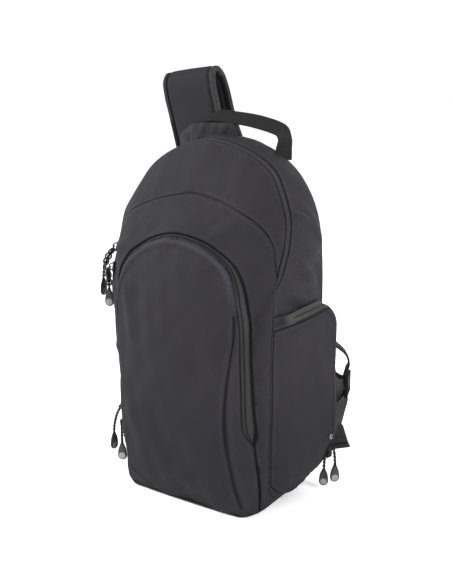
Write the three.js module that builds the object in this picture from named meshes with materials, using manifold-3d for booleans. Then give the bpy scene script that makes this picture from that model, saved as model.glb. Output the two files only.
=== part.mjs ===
// A soft fishing rucksack with one padded sling strap, standing on its base.
// Millimetres. +Z is up, the front faces -Y, and the origin is the middle of the base.
// The cloth panels are separate sheets that meet at the seams of the real bag.

import * as THREE from "three";
import { mergeVertices } from "three/addons/utils/BufferGeometryUtils.js";
import Module from "manifold-3d";

const { clamp, lerp, smoothstep } = THREE.MathUtils;

// Cloth and seams
const WALL = 2;
const BACK_PAD = 9;
const GAP = 0.3;
const FOLD_GAP = 1;
const SEAM_STEPS = 56;
const CORE = { y: -10, low: 65, high: 305 };
const OUTSIDE = 600;

// Body
const BASE_THICK = 3.7;
const SEAM_FOOT = 4;
const BACK_FOOT_Y = 67.3;
const BACK_LEAN = 0.055;
const BACK_CROWN = { rise: 4, fullAtX: 60 };
const SIDE_BULGE = 5;
const BULGE_FULL = 55;
const SHELL_BULGE = 3;
const CROWN_BULGE = 3;
const CROWN_START = { rise: 6, tuck: 0.02 };
const POCKET_ROUND = 2.2;
const POCKET_ROLL = { depth: 3, low: 230, high: 255, creaseReach: 0.95 };

// Zips: the slot in which a zip shows, the tape under it, and where the slots close
const ZIP_HALF = 5.5;
const TAPE = 1.2;
const TAPE_LAP = 0.8;
const TAPE_TAIL = 2;
const MAIN_ZIP_FOOT = { closed: 247, open: 258 };
const FRONT_ZIP_FOOT = { closed: 65, open: 79 };

// Side pocket
const SIDE_POCKET = { low: 35, high: 224, back: 46, depth: 23, rise: 12, sag: 14 };
const SIDE_POCKET_SEAM = { inset: 3, slack: 0.85 };
const SIDE_POCKET_CORNER = { top: 20, bottom: 21 };
const SIDE_POCKET_FULL = { depth: 9.5, low: 35, peak: 78, high: 165 };
const SIDE_BAND = { start: 0.16, lowStart: 0.22, front: 14, back: 6, seat: 2.3 };

// Webbing and strap
const WEBBING = { width: 25, thick: 1.8, handleSteps: 26, adjusterSteps: 44 };
const STRAP_EDGE = 0.25;
const STRAP_SHOULDER = 0.42;

// Zip sliders and pulls
const SLIDER = { length: 13, width: 7.6, thick: 2.8, bridge: 2.4, reach: 4, height: 4.6, hole: 1.6 };
const RING = { radius: 3.2, wire: 0.7, swing: 0.5 };
const CORD = { radius: 1.1, bend: 0.45, sides: 8, steps: 5 };
const TAB = { length: 22, width: 11.5, neck: 4.2, thick: 3.2, bevel: 0.7 };

// A table names its columns once; seam tables run from the base up to the middle of the top.
function table(columns, rows) {
  const names = columns.split(" ");
  return rows.map((row) => Object.fromEntries(names.map((name, i) => [name, row[i]])));
}

// Corner between front and side; its upper part, from z 250 up, is the middle of the main zip
const CORNER_SEAM = table("x y z", [
  [93, -33, SEAM_FOOT],
  [100.5, -37, 42],
  [103.5, -42, 84],
  [107, -46, 142],
  [109, -50, 191],
  [112, -52, 235],
  [114.5, -52, 266],
  [116, -43, 289],
  [117, -33, 313],
  [115, -26.5, 337],
  [109, -21, 352],
  [100, -15.5, 369],
  [87, -10, 389],
  [72, -8, 401.5],
  [50, -7.5, 413],
  [26, -7, 421],
  [0, -7, 425],
]);

// Edge of the back panel, which leans a little towards the front
const BACK_SEAM = table("x z", [
  [92, SEAM_FOOT],
  [101, 44],
  [106, 85],
  [111.5, 145],
  [115, 205],
  [116.5, 255],
  [116, 295],
  [113.5, 325],
  [109, 345],
  [101.5, 363],
  [91.5, 379],
  [79, 393],
  [62, 405],
  [41, 415],
  [22, 421],
  [0, 424],
]).map(({ x, z }) => ({ x, y: BACK_FOOT_Y - BACK_LEAN * z, z }));

// Middle of the front pocket's zip, carried on to the base as the pocket's seam
const FRONT_ZIP = table("x y z", [
  [91, -47, SEAM_FOOT],
  [93, -53, 39],
  [92, -59, 71],
  [90.5, -63.5, 99],
  [89.5, -66.5, 120],
  [89.5, -70, 182],
  [88.5, -72.5, 235],
  [86.5, -74.5, 253],
  [84, -74, 266],
  [80, -72.5, 277],
  [72, -71, 290],
  [58, -70, 301],
  [43, -71, 310],
  [25, -73.5, 317],
  [0, -76, 321],
]);

// Seam across the upper front, where the front compartment starts to bulge
const CROWN_SEAM = table("x y z", [
  [109.5, -44.5, 298],
  [107, -42.5, 311],
  [102, -43.5, 322],
  [96, -45, 331],
  [85, -48, 341],
  [69, -49, 349],
  [47, -46, 357],
  [29, -43.5, 361],
  [0, -41, 365],
]);

// Edge of the front shell below the crown seam: its distance from the corner seam
const SHELL_EDGE = table("z fromCorner", [
  [SEAM_FOOT, GAP],
  [42, GAP],
  [84, GAP],
  [142, GAP],
  [191, GAP],
  [233, GAP],
  [MAIN_ZIP_FOOT.open + 1, ZIP_HALF + 2 * GAP],
  [274, ZIP_HALF + 2 * GAP],
]);

// Front pocket at each height: how far the middle stands out, and the crease down each side
const POCKET_ROWS = table("z middle creaseX creaseY", [
  [SEAM_FOOT, -67, 83, -63],
  [18, -75.5, 83, -70],
  [44, -86, 79, -77],
  [80, -93, 74.5, -83],
  [110, -96.5, 73, -87],
  [135, -98, 73, -88],
  [167, -98, 75, -86.5],
  [215, -96, 81, -82.5],
  [240, -94, 83.5, -80],
  [265, -91, 86, -78],
  [295, -86, 86, -76],
  [321, -79, 86, -75],
]);

// Sling strap: middle of each section, its width and thickness, and the lean of its width
const STRAP = table("x y z width thick lean yaw", [
  [-55.5, 52.8, 385, 60, 7, 11, 0],
  [-60, 57, 403, 65, 8, 9, 0],
  [-66, 61, 422, 70, 9, 8, 0],
  [-74.5, 64, 450, 74, 9, 7, 0],
  [-82, 65, 476, 75, 9, 6, 0],
  [-86.5, 69, 492, 75, 9, 6, 0],
  [-88.5, 79, 499.5, 75, 9, 6, 0],
  [-87, 89, 493, 75, 9, 6, 0],
  [-83, 95, 474, 75, 9, 9, 0],
  [-73, 97, 437, 74, 9, 14, 0],
  [-53, 98, 389, 73, 9, 20, 0],
  [-22, 98, 330, 72, 9, 27, 0],
  [15, 98, 268, 70, 9, 34, 0],
  [50, 97, 208, 68, 9, 42, 0],
  [80, 94, 156, 60, 8, 54, 0],
  [101, 91, 130, 52, 7, 68, 3],
  [114, 89.5, 122.5, 42, 5.5, 78, 6],
  [126, 88.5, 124.5, 24, 4, 84, 8],
]);

// Grab handle: middle line of the webbing, and how far its back edge is lifted over its width
const HANDLE = table("x z lift", [
  [75, 412, 0],
  [75.5, 424, 0.1],
  [70, 432.5, 0.45],
  [42, 441.5, 0.55],
  [2, 447, 0.55],
  [-20, 448, 0.55],
  [-35, 442.5, 0.35],
  [-42, 428, 0.1],
]);
const HANDLE_FEET = { right: 75, left: -44 };
const HANDLE_Y = 31;

// Lower end of the sling strap: the lock and its turn about +Z, and the webbing from the anchor tab through
// its slots, as its distance out from the lock's middle plane, its height and its own turn
const LOCK = { x: 135, y: 88, z: 130, turn: 20, length: 26, width: 32, thick: 4, bar: 3 };
const ADJUSTER = table("out z turn", [
  [-9, 81.5, -6],
  [-7.5, 93, -8],
  [-5, 107, 6],
  [-4.4, 113, 20],
  [-3.8, 119, 20],
  [0, 124.2, 20],
  [3.3, 127.8, 20],
  [4, 130, 20],
  [3.3, 132.2, 20],
  [0, 135.8, 20],
  [-3.6, 140.5, 20],
  [-3.4, 147, 22],
  [0.5, 155, 26],
  [-3, 167.5, 34],
  [-14, 177.5, 34],
  [-26, 182.5, 34],
]);
const ANCHOR = { behindSeam: 2 * GAP, tipY: 84.5, rootHigh: 95, rootLow: 40, thick: 3 };
const ANCHOR_TIP = { highX: 131.5, highZ: 76.5, lowX: 142, lowZ: 49.5 };

// Zip pulls: height of the slider on its zip, the top of its tab, and the tab's turn about +Z
const PULLS = table("name zip height tabX tabY tabZ turn", [
  ["main_zip_1", "main", 293, -132.1, -49, 254.0, 34],
  ["main_zip_2", "main", 270, -116.9, -56, 243.5, -64],
  ["front_zip_1", "front", 106, -102, -72, 67, -40],
  ["front_zip_2", "front", 86, -91, -75, 56, -66],
  ["side_zip_1", "side", 75, 138, 54.5, 37, -50],
  ["side_zip_2", "side", 52, 123, 55, 28, -62],
]);

// Materials
function cloth(colour, roughness) {
  return new THREE.MeshStandardMaterial({ color: colour, roughness, metalness: 0 });
}
const NYLON = cloth(0x2e2d31, 0.8);
const WEBBING_CLOTH = cloth(0x222321, 0.85);
const TAPE_CLOTH = cloth(0x242427, 0.85);
const BLACK_PLASTIC = cloth(0x141416, 0.45);
const DARK_METAL = new THREE.MeshStandardMaterial({ color: 0x2b2b2d, roughness: 0.35, metalness: 0.9 });
const PULL_RUBBER = cloth(0x1b1b1d, 0.55);

const rucksack = new THREE.Group();

function addPiece(name, geometry, material) {
  const mesh = new THREE.Mesh(geometry, material);
  mesh.name = name;
  rucksack.add(mesh);
  return mesh;
}

// A closed body from points and triangles, turned so that its faces point out
function closedBody(points, triangles) {
  let volume = 0;
  for (const [a, b, c] of triangles) {
    volume += points[a].dot(new THREE.Vector3().crossVectors(points[b], points[c]));
  }
  const facing = volume > 0 ? triangles : triangles.map(([a, b, c]) => [a, c, b]);
  const geometry = new THREE.BufferGeometry();
  geometry.setAttribute("position", new THREE.Float32BufferAttribute(points.flatMap((p) => p.toArray()), 3));
  geometry.setIndex(facing.flat());
  geometry.computeVertexNormals();
  return geometry;
}

// A sheet of cloth between two grids of points
function sheetBody(outer, inner) {
  const rows = outer.length;
  const columns = outer[0].length;
  const points = [...outer.flat(), ...inner.flat()];
  const at = (i, j, side) => side * rows * columns + i * columns + j;
  const triangles = [];
  for (let i = 0; i + 1 < rows; i += 1) {
    for (let j = 0; j + 1 < columns; j += 1) {
      triangles.push([at(i, j, 0), at(i + 1, j, 0), at(i + 1, j + 1, 0)]);
      triangles.push([at(i, j, 0), at(i + 1, j + 1, 0), at(i, j + 1, 0)]);
      triangles.push([at(i, j, 1), at(i + 1, j + 1, 1), at(i + 1, j, 1)]);
      triangles.push([at(i, j, 1), at(i, j + 1, 1), at(i + 1, j + 1, 1)]);
    }
  }
  const rim = [];
  for (let i = 0; i + 1 < rows; i += 1) rim.push([i, 0]);
  for (let j = 0; j + 1 < columns; j += 1) rim.push([rows - 1, j]);
  for (let i = rows - 1; i > 0; i -= 1) rim.push([i, columns - 1]);
  for (let j = columns - 1; j > 0; j -= 1) rim.push([0, j]);
  rim.forEach(([i, j], k) => {
    const [ni, nj] = rim[(k + 1) % rim.length];
    triangles.push([at(i, j, 0), at(i, j, 1), at(ni, nj, 1)]);
    triangles.push([at(i, j, 0), at(ni, nj, 1), at(ni, nj, 0)]);
  });
  return closedBody(points, triangles);
}

// A body through rings of points, closed by a flat fan at each end
function ringBody(rings) {
  const count = rings[0].length;
  const triangles = [];
  for (let i = 0; i + 1 < rings.length; i += 1) {
    for (let j = 0; j < count; j += 1) {
      const a = i * count + j;
      const b = i * count + ((j + 1) % count);
      triangles.push([a, b, b + count], [a, b + count, a + count]);
    }
  }
  const last = (rings.length - 1) * count;
  for (let j = 1; j + 1 < count; j += 1) {
    triangles.push([0, j + 1, j], [last, last + j, last + j + 1]);
  }
  return closedBody(rings.flat(), triangles);
}

// Smooth value of one column of a table against another
function smoothColumn(rows, key, name) {
  const slope = (i) => {
    const before = rows[Math.max(i - 1, 0)];
    const after = rows[Math.min(i + 1, rows.length - 1)];
    return (after[name] - before[name]) / (after[key] - before[key]);
  };
  return (value) => {
    const inside = clamp(value, rows[0][key], rows[rows.length - 1][key]);
    const next = Math.max(rows.findIndex((row) => row[key] >= inside), 1);
    const span = rows[next][key] - rows[next - 1][key];
    const u = (inside - rows[next - 1][key]) / span;
    const ease = u * u * (3 - 2 * u);
    const startSlope = slope(next - 1) * span * u * (1 - u) * (1 - u);
    const endSlope = slope(next) * span * u * u * (u - 1);
    return lerp(rows[next - 1][name], rows[next][name], ease) + startSlope + endSlope;
  };
}

// A seam from the left foot over the top to the right foot; 0 and 1 are its feet, 0.5 its top
function archCurve(rows) {
  const right = rows.map(({ x, y, z }) => new THREE.Vector3(x, y, z));
  const left = right.slice(0, -1).map((p) => new THREE.Vector3(-p.x, p.y, p.z));
  const curve = new THREE.CatmullRomCurve3([...left, ...right.toReversed()], false, "centripetal");
  curve.arcLengthDivisions = 600;
  return curve;
}

const cornerSeam = archCurve(CORNER_SEAM);
const backSeam = archCurve(BACK_SEAM);
const frontZip = archCurve(FRONT_ZIP);
const crownSeam = archCurve(CROWN_SEAM);

// Seam parameter on the left half at a height, and the first seam step above it
function leftParameter(curve, z) {
  let low = 0;
  let high = 0.5;
  for (let i = 0; i < 30; i += 1) {
    const middle = (low + high) / 2;
    if (curve.getPointAt(middle).z < z) low = middle;
    else high = middle;
  }
  return low;
}
function stepAbove(curve, z) {
  return Math.ceil(leftParameter(curve, z) * SEAM_STEPS);
}

// Unit vector from one seam towards another, square to the first
function across(curve, other, t) {
  const from = curve.getPointAt(t);
  const along = curve.getTangentAt(t);
  const way = other.getPointAt(t).sub(from);
  return way.addScaledVector(along, -way.dot(along)).normalize();
}

// Cloth is thickened towards an upright line inside the bag, so that panels meet in a mitre
function inward(p) {
  const core = new THREE.Vector3(0, CORE.y, clamp(p.z, CORE.low, CORE.high));
  return core.sub(p).normalize();
}

// Point between two seams, swelling out in the middle but flat at the base
function bulged(a, b, v, bulge) {
  const p = a.clone().lerp(b, v);
  const swell = bulge * smoothstep(p.z, SEAM_FOOT, BULGE_FULL);
  return p.addScaledVector(inward(p), -swell * 4 * v * (1 - v));
}

// Panel over steps of the seams, with points given by the seam parameter and a share across
function seamPanel(point, firstStep, lastStep, columns, thickness, depth = 0) {
  const grid = (inset) => {
    const rows = [];
    for (let step = firstStep; step <= lastStep; step += 1) {
      const row = [];
      for (let j = 0; j <= columns; j += 1) {
        const p = point(step / SEAM_STEPS, j / columns);
        row.push(p.addScaledVector(inward(p), inset));
      }
      rows.push(row);
    }
    return rows;
  };
  return sheetBody(grid(depth), grid(depth + thickness));
}

// Half of a zip's open slot, closing to a plain seam at the zip's foot
function slotHalf(z, foot) {
  return GAP + ZIP_HALF * smoothstep(z, foot.closed, foot.open);
}

// Main gusset: both sides and the top
function gussetPoint(t, v) {
  const front = cornerSeam.getPointAt(t);
  front.addScaledVector(across(cornerSeam, backSeam, t), slotHalf(front.z, MAIN_ZIP_FOOT));
  const back = backSeam.getPointAt(t).addScaledVector(across(backSeam, cornerSeam, t), GAP);
  return bulged(front, back, v, SIDE_BULGE);
}
const gussetBody = seamPanel(gussetPoint, 0, SEAM_STEPS, 5, WALL);
const gusset = addPiece("main_gusset", gussetBody, NYLON);

// Front shell: from the front pocket's zip to the corner, the main zip's foot and the crown seam
function besideCorner(z, distance) {
  const t = 1 - leftParameter(cornerSeam, z);
  return cornerSeam.getPointAt(t).addScaledVector(across(cornerSeam, frontZip, t), distance);
}
const shellEdge = archCurve([
  ...SHELL_EDGE.map(({ z, fromCorner }) => besideCorner(z, fromCorner)),
  ...CROWN_SEAM,
]);
function shellPoint(t, v) {
  const inner = frontZip.getPointAt(t);
  inner.addScaledVector(across(frontZip, cornerSeam, t), slotHalf(inner.z, FRONT_ZIP_FOOT));
  return bulged(inner, shellEdge.getPointAt(t), v, SHELL_BULGE);
}
addPiece("front_shell", seamPanel(shellPoint, 0, SEAM_STEPS, 3, WALL), NYLON);

// Crown panel: crescent between the crown seam and the main zip
const crownStep = stepAbove(cornerSeam, CROWN_SEAM[0].z + CROWN_START.rise);
function crownPoint(t, v) {
  const share = (t * SEAM_STEPS - crownStep) / (SEAM_STEPS - 2 * crownStep);
  const upper = cornerSeam.getPointAt(t);
  upper.addScaledVector(across(cornerSeam, frontZip, t), ZIP_HALF + GAP);
  const lower = crownSeam.getPointAt(lerp(CROWN_START.tuck, 1 - CROWN_START.tuck, share));
  lower.addScaledVector(upper.clone().sub(lower).normalize(), FOLD_GAP);
  return bulged(lower, upper, v, CROWN_BULGE * Math.sin(Math.PI * share));
}
addPiece("crown_panel", seamPanel(crownPoint, crownStep, SEAM_STEPS - crownStep, 3, WALL), NYLON);

// Zip tapes lie just under the cloth and span the slots
function tapePoint(curve, toOneSide, toOtherSide) {
  const half = ZIP_HALF + TAPE_LAP;
  return (t, v) => {
    const side = 2 * v - 1;
    const way = side < 0 ? toOneSide(t) : toOtherSide(t);
    return curve.getPointAt(t).addScaledVector(way, Math.abs(side) * half);
  };
}
const mainTapePoint = tapePoint(
  cornerSeam,
  (t) => across(cornerSeam, frontZip, t),
  (t) => across(cornerSeam, backSeam, t),
);
const frontTapePoint = tapePoint(
  frontZip,
  (t) => across(frontZip, cornerSeam, t).negate(),
  (t) => across(frontZip, cornerSeam, t),
);
const mainTapeStep = stepAbove(cornerSeam, MAIN_ZIP_FOOT.closed - TAPE_TAIL);
const frontTapeStep = stepAbove(frontZip, FRONT_ZIP_FOOT.closed - TAPE_TAIL);
const tapeDepth = WALL + 4 * GAP;
function tapeBody(point, firstStep) {
  return seamPanel(point, firstStep, SEAM_STEPS - firstStep, 2, TAPE, tapeDepth);
}
addPiece("main_zip_tape", tapeBody(mainTapePoint, mainTapeStep), TAPE_CLOTH);
addPiece("front_zip_tape", tapeBody(frontTapePoint, frontTapeStep), TAPE_CLOTH);

// Panel of level rows that ends on both sides at a seam
function levelPanel(edgePoint, profile, shares, thickness) {
  const rows = [];
  for (let step = SEAM_STEPS / 2 + 1; step <= SEAM_STEPS; step += 1) {
    const edge = edgePoint(step / SEAM_STEPS);
    const right = shares.map((share) => profile(edge, share));
    const left = right.slice(1).map((p) => new THREE.Vector3(-p.x, p.y, p.z));
    rows.push([...left.toReversed(), ...right]);
  }
  const inset = rows.map((row) => row.map((p) => p.clone().addScaledVector(inward(p), thickness)));
  return sheetBody(rows, inset);
}

// Front pocket: a crowned panel, a sewn crease on each side, and a gusset from crease to zip
const pocketMiddle = smoothColumn(POCKET_ROWS, "z", "middle");
const pocketCreaseX = smoothColumn(POCKET_ROWS, "z", "creaseX");
const pocketCreaseY = smoothColumn(POCKET_ROWS, "z", "creaseY");
const POCKET_SHARES = [0, 0.25, 0.5, 0.72, 0.88, 1, 1.5, 2];
function pocketEdge(t) {
  const edge = frontZip.getPointAt(t);
  return edge.addScaledVector(across(frontZip, cornerSeam, t), -slotHalf(edge.z, FRONT_ZIP_FOOT));
}
// Shares 0 to 1 run from the middle to the crease, and 1 to 2 from the crease to the edge.
function pocketProfile(edge, share) {
  const creaseX = Math.min(pocketCreaseX(edge.z), POCKET_ROLL.creaseReach * edge.x);
  const rolled = smoothstep(edge.z, POCKET_ROLL.low, POCKET_ROLL.high);
  const creaseY = lerp(pocketCreaseY(edge.z), edge.y - POCKET_ROLL.depth, rolled);
  if (share > 1) {
    return new THREE.Vector3(lerp(creaseX, edge.x, share - 1), lerp(creaseY, edge.y, share - 1), edge.z);
  }
  const y = lerp(pocketMiddle(edge.z), creaseY, share ** POCKET_ROUND);
  return new THREE.Vector3(creaseX * share, y, edge.z);
}
addPiece("front_pocket", levelPanel(pocketEdge, pocketProfile, POCKET_SHARES, WALL), NYLON);

// Back panel: padded, a little crowned
function backProfile(edge, share) {
  const crown = BACK_CROWN.rise * (1 - share ** 2) * smoothstep(edge.x, 0, BACK_CROWN.fullAtX);
  return new THREE.Vector3(edge.x * share, edge.y + crown, edge.z);
}
const BACK_SHARES = [0, 0.3, 0.6, 0.85, 1];
addPiece("back_panel", levelPanel((t) => backSeam.getPointAt(t), backProfile, BACK_SHARES, BACK_PAD), NYLON);

// Base panel: the outline of the seams' feet, with its lower edge drawn in
const BASE_OUTLINE = table("x y", [
  [28, -66.8],
  [58, -65.5],
  [82, -62.5],
  [90.6, -47],
  [92.8, -33],
  [92.5, 0],
  [92.2, 35],
  [91.8, 66.5],
  [60, 68.5],
  [22, 70],
]);
const BASE_RINGS = table("inset z", [
  [6, 0],
  [1.6, 1.1],
  [0.2, BASE_THICK],
]);
function baseBody() {
  const right = BASE_OUTLINE.map(({ x, y }) => new THREE.Vector2(x, y));
  const left = right.map((p) => new THREE.Vector2(-p.x, p.y)).reverse();
  const outline = [...right, ...left];
  const rings = BASE_RINGS.map(({ inset, z }) =>
    outline.map((p) => {
      const scale = 1 - inset / p.length();
      return new THREE.Vector3(p.x * scale, p.y * scale, z);
    }),
  );
  return ringBody(rings);
}
addPiece("base_panel", baseBody(), NYLON);

// Where a line from outside first meets the main gusset
const ray = new THREE.Raycaster();
gusset.updateMatrixWorld();
function firstMeeting(from, way) {
  ray.set(from, way);
  return ray.intersectObject(gusset)[0].point;
}
// Place of the body's right side at a depth and a height, and of its top
function sideX(y, z) {
  return firstMeeting(new THREE.Vector3(OUTSIDE, y, z), new THREE.Vector3(-1, 0, 0)).x;
}
function topZ(x, y) {
  return firstMeeting(new THREE.Vector3(x, y, OUTSIDE), new THREE.Vector3(0, 0, -1)).z;
}

// Side pocket face: flat at its front seam and standing out towards its back edge
const cornerY = smoothColumn(CORNER_SEAM.slice(0, 7), "z", "y");
function sidePocketBackY(z) {
  const { top, bottom } = SIDE_POCKET_CORNER;
  const past = Math.max(z - (SIDE_POCKET.high - top), 0) / top;
  const short = Math.max(SIDE_POCKET.low + bottom - z, 0) / bottom;
  const inset = top * (1 - Math.sqrt(1 - past ** 2)) + bottom * (1 - Math.sqrt(1 - short ** 2));
  return SIDE_POCKET.back - inset;
}
function sidePocketPoint(u, v) {
  const level = lerp(SIDE_POCKET.low, SIDE_POCKET.high, v);
  const frontY = cornerY(level) + SIDE_POCKET_SEAM.inset;
  const y = lerp(frontY, sidePocketBackY(level), u);
  const backward = (y - frontY) / (SIDE_POCKET.back - frontY);
  const z = level + SIDE_POCKET.rise * u * v - SIDE_POCKET.sag * Math.sin(Math.PI * u) * (1 - v);
  const { depth, low, peak, high } = SIDE_POCKET_FULL;
  const full = depth * smoothstep(level, low, peak) * (1 - smoothstep(level, peak, high));
  const slack = lerp(SIDE_POCKET_SEAM.slack, 1, Math.sin(Math.PI * v));
  const lift = (SIDE_POCKET.depth * slack + full) * backward;
  return new THREE.Vector3(sideX(y, z) + WALL + FOLD_GAP + lift, y, z);
}
const SIDE_FACE_PARTS = { back: 9, up: 12 };
function sidePocketFace() {
  const outer = [];
  for (let i = 0; i <= SIDE_FACE_PARTS.back; i += 1) {
    const row = [];
    for (let j = 0; j <= SIDE_FACE_PARTS.up; j += 1) {
      row.push(sidePocketPoint(i / SIDE_FACE_PARTS.back, j / SIDE_FACE_PARTS.up));
    }
    outer.push(row);
  }
  const inner = outer.map((row) => row.map((p) => p.clone().setX(p.x - WALL)));
  return sheetBody(outer, inner);
}
addPiece("side_pocket_face", sidePocketFace(), NYLON);

// Side pocket gusset: along the face's top, back and lower edge, back to the body
const BAND_PARTS = { top: 8, back: 12, bottom: 8 };
const BAND_SHARES = [0, 0.1, 0.32, 0.54, 1];
const ZIP_SHARE = BAND_SHARES[2];
const BAND_CORE = { y: 0, low: 85, high: 185 };
function bandRim() {
  const rim = [];
  for (let i = 0; i <= BAND_PARTS.top; i += 1) rim.push([lerp(SIDE_BAND.start, 1, i / BAND_PARTS.top), 1]);
  for (let i = 1; i <= BAND_PARTS.back; i += 1) rim.push([1, 1 - i / BAND_PARTS.back]);
  for (let i = 1; i <= BAND_PARTS.bottom; i += 1) {
    rim.push([lerp(1, SIDE_BAND.lowStart, i / BAND_PARTS.bottom), 0]);
  }
  return rim;
}
// Direction in the side's plane from the pocket's middle out through its rim
function bandOut(p) {
  const core = new THREE.Vector3(p.x, BAND_CORE.y, clamp(p.z, BAND_CORE.low, BAND_CORE.high));
  return p.clone().sub(core).normalize();
}
function bandPoint([u, v], s, raise) {
  const rim = sidePocketPoint(u, v);
  const out = bandOut(rim);
  const spread = v === 1 ? lerp(SIDE_BAND.front, SIDE_BAND.back, u) : SIDE_BAND.back;
  const seat = rim.clone().addScaledVector(out, spread);
  const edge = rim.clone().setX(rim.x - WALL - FOLD_GAP);
  seat.setX(sideX(seat.y, seat.z) + SIDE_BAND.seat);
  return edge.lerp(seat, s).addScaledVector(out, raise);
}
function bandSheet(rim, shares, raise, thickness) {
  const outer = rim.map((place) => shares.map((s) => bandPoint(place, s, raise)));
  const inner = rim.map((place) => shares.map((s) => bandPoint(place, s, raise - thickness)));
  return sheetBody(outer, inner);
}
const pocketRim = bandRim();
addPiece("side_pocket_gusset", bandSheet(pocketRim, BAND_SHARES, 0, WALL), NYLON);
const zipRim = pocketRim.slice(1, BAND_PARTS.top + BAND_PARTS.back);
addPiece("side_zip_tape", bandSheet(zipRim, BAND_SHARES.slice(1, -1), GAP + TAPE, TAPE), TAPE_CLOTH);

// Section of a strap across its middle line
function strapRing(middle, along, widthWay, width, thick) {
  const face = new THREE.Vector3().crossVectors(along, widthWay).normalize();
  const wide = new THREE.Vector3().crossVectors(face, along).normalize();
  const corners = [
    [0.5, STRAP_EDGE],
    [STRAP_SHOULDER, 0.5],
    [-STRAP_SHOULDER, 0.5],
    [-0.5, STRAP_EDGE],
    [-0.5, -STRAP_EDGE],
    [-STRAP_SHOULDER, -0.5],
    [STRAP_SHOULDER, -0.5],
    [0.5, -STRAP_EDGE],
  ];
  return corners.map(([a, b]) =>
    middle.clone().addScaledVector(wide, a * width).addScaledVector(face, b * thick),
  );
}

// Sling strap
function strapBody() {
  const curve = new THREE.CatmullRomCurve3(STRAP.map(({ x, y, z }) => new THREE.Vector3(x, y, z)));
  const stepsPerRow = 2;
  const last = (STRAP.length - 1) * stepsPerRow;
  const rings = [];
  for (let i = 0; i <= last; i += 1) {
    const row = STRAP[Math.min(Math.floor(i / stepsPerRow), STRAP.length - 2)];
    const next = STRAP[STRAP.indexOf(row) + 1];
    const u = i / stepsPerRow - STRAP.indexOf(row);
    const between = (name) => lerp(row[name], next[name], u);
    const lean = THREE.MathUtils.degToRad(between("lean"));
    const yaw = THREE.MathUtils.degToRad(between("yaw"));
    const level = Math.cos(yaw);
    const way = new THREE.Vector3(Math.cos(lean) * level, Math.sin(yaw), Math.sin(lean) * level);
    const t = i / last;
    rings.push(strapRing(curve.getPoint(t), curve.getTangent(t), way, between("width"), between("thick")));
  }
  return ringBody(rings);
}
addPiece("shoulder_strap", strapBody(), NYLON);

// Flat webbing along a curve, with the way of its width given by place along the curve and height
function webbingBody(points, widthWay, steps) {
  const curve = new THREE.CatmullRomCurve3(points, false, "centripetal");
  const rings = [];
  for (let i = 0; i <= steps; i += 1) {
    const t = i / steps;
    const along = curve.getTangentAt(t);
    const middle = curve.getPointAt(t);
    const face = new THREE.Vector3().crossVectors(along, widthWay(t, middle.z)).normalize();
    const wide = new THREE.Vector3().crossVectors(face, along).normalize();
    const corners = [[1, 1], [-1, 1], [-1, -1], [1, -1]];
    rings.push(corners.map(([a, b]) => {
      const p = middle.clone().addScaledVector(wide, (a * WEBBING.width) / 2);
      return p.addScaledVector(face, (b * WEBBING.thick) / 2);
    }));
  }
  return ringBody(rings);
}

// Grab handle: each foot stands on the highest place of the cloth under it
function handleFoot(x) {
  const reach = WEBBING.width / 2;
  const heights = [];
  for (const dx of [-WEBBING.thick, WEBBING.thick]) {
    for (const dy of [-reach, -reach / 2, 0, reach / 2, reach]) heights.push(topZ(x + dx, HANDLE_Y + dy));
  }
  return { x, z: Math.max(...heights) + GAP, lift: 0 };
}
const handleRows = [handleFoot(HANDLE_FEET.right), ...HANDLE, handleFoot(HANDLE_FEET.left)];
const handlePoints = handleRows.map(({ x, z }) => new THREE.Vector3(x, HANDLE_Y, z));
const handleLift = smoothColumn(handleRows.map(({ lift }, i) => ({ row: i, lift })), "row", "lift");
function handleWay(t) {
  return new THREE.Vector3(0, 1, handleLift(t * (handleRows.length - 1)));
}
addPiece("grab_handle", webbingBody(handlePoints, handleWay, WEBBING.handleSteps), WEBBING_CLOTH);

// Adjuster webbing: in line with the lock's slots, and turned edge on to the front in its tail
const lockTurn = THREE.MathUtils.degToRad(LOCK.turn);
const adjusterPoints = ADJUSTER.map(({ out, z }) =>
  new THREE.Vector3(LOCK.x + out * Math.cos(lockTurn), LOCK.y + out * Math.sin(lockTurn), z));
const adjusterTurn = smoothColumn(ADJUSTER, "z", "turn");
function adjusterWay(t, z) {
  const turn = THREE.MathUtils.degToRad(adjusterTurn(z));
  return new THREE.Vector3(-Math.sin(turn), Math.cos(turn), 0);
}
const adjusterBody = webbingBody(adjusterPoints, adjusterWay, WEBBING.adjusterSteps);
addPiece("adjuster_webbing", adjusterBody, WEBBING_CLOTH);

// Strap lock: a flat frame with two slots
function lockBody() {
  const halfLength = LOCK.length / 2;
  const halfWidth = LOCK.width / 2;
  const frame = new THREE.Shape();
  frame.moveTo(-halfWidth, -halfLength);
  frame.lineTo(halfWidth, -halfLength);
  frame.lineTo(halfWidth, halfLength);
  frame.lineTo(-halfWidth, halfLength);
  frame.closePath();
  const slotHalfWidth = halfWidth - LOCK.bar;
  for (const side of [-1, 1]) {
    const slot = new THREE.Path();
    const near = (side * LOCK.bar) / 2;
    const far = side * (halfLength - LOCK.bar);
    slot.moveTo(-slotHalfWidth, near);
    slot.lineTo(slotHalfWidth, near);
    slot.lineTo(slotHalfWidth, far);
    slot.lineTo(-slotHalfWidth, far);
    slot.closePath();
    frame.holes.push(slot);
  }
  const geometry = new THREE.ExtrudeGeometry(frame, { depth: LOCK.thick, bevelEnabled: false });
  geometry.translate(0, 0, -LOCK.thick / 2);
  geometry.rotateX(Math.PI / 2);
  geometry.rotateZ(Math.PI / 2);
  return geometry;
}
const lock = addPiece("strap_lock", lockBody(), BLACK_PLASTIC);
lock.rotation.z = lockTurn;
lock.position.set(LOCK.x, LOCK.y, LOCK.z);

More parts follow.
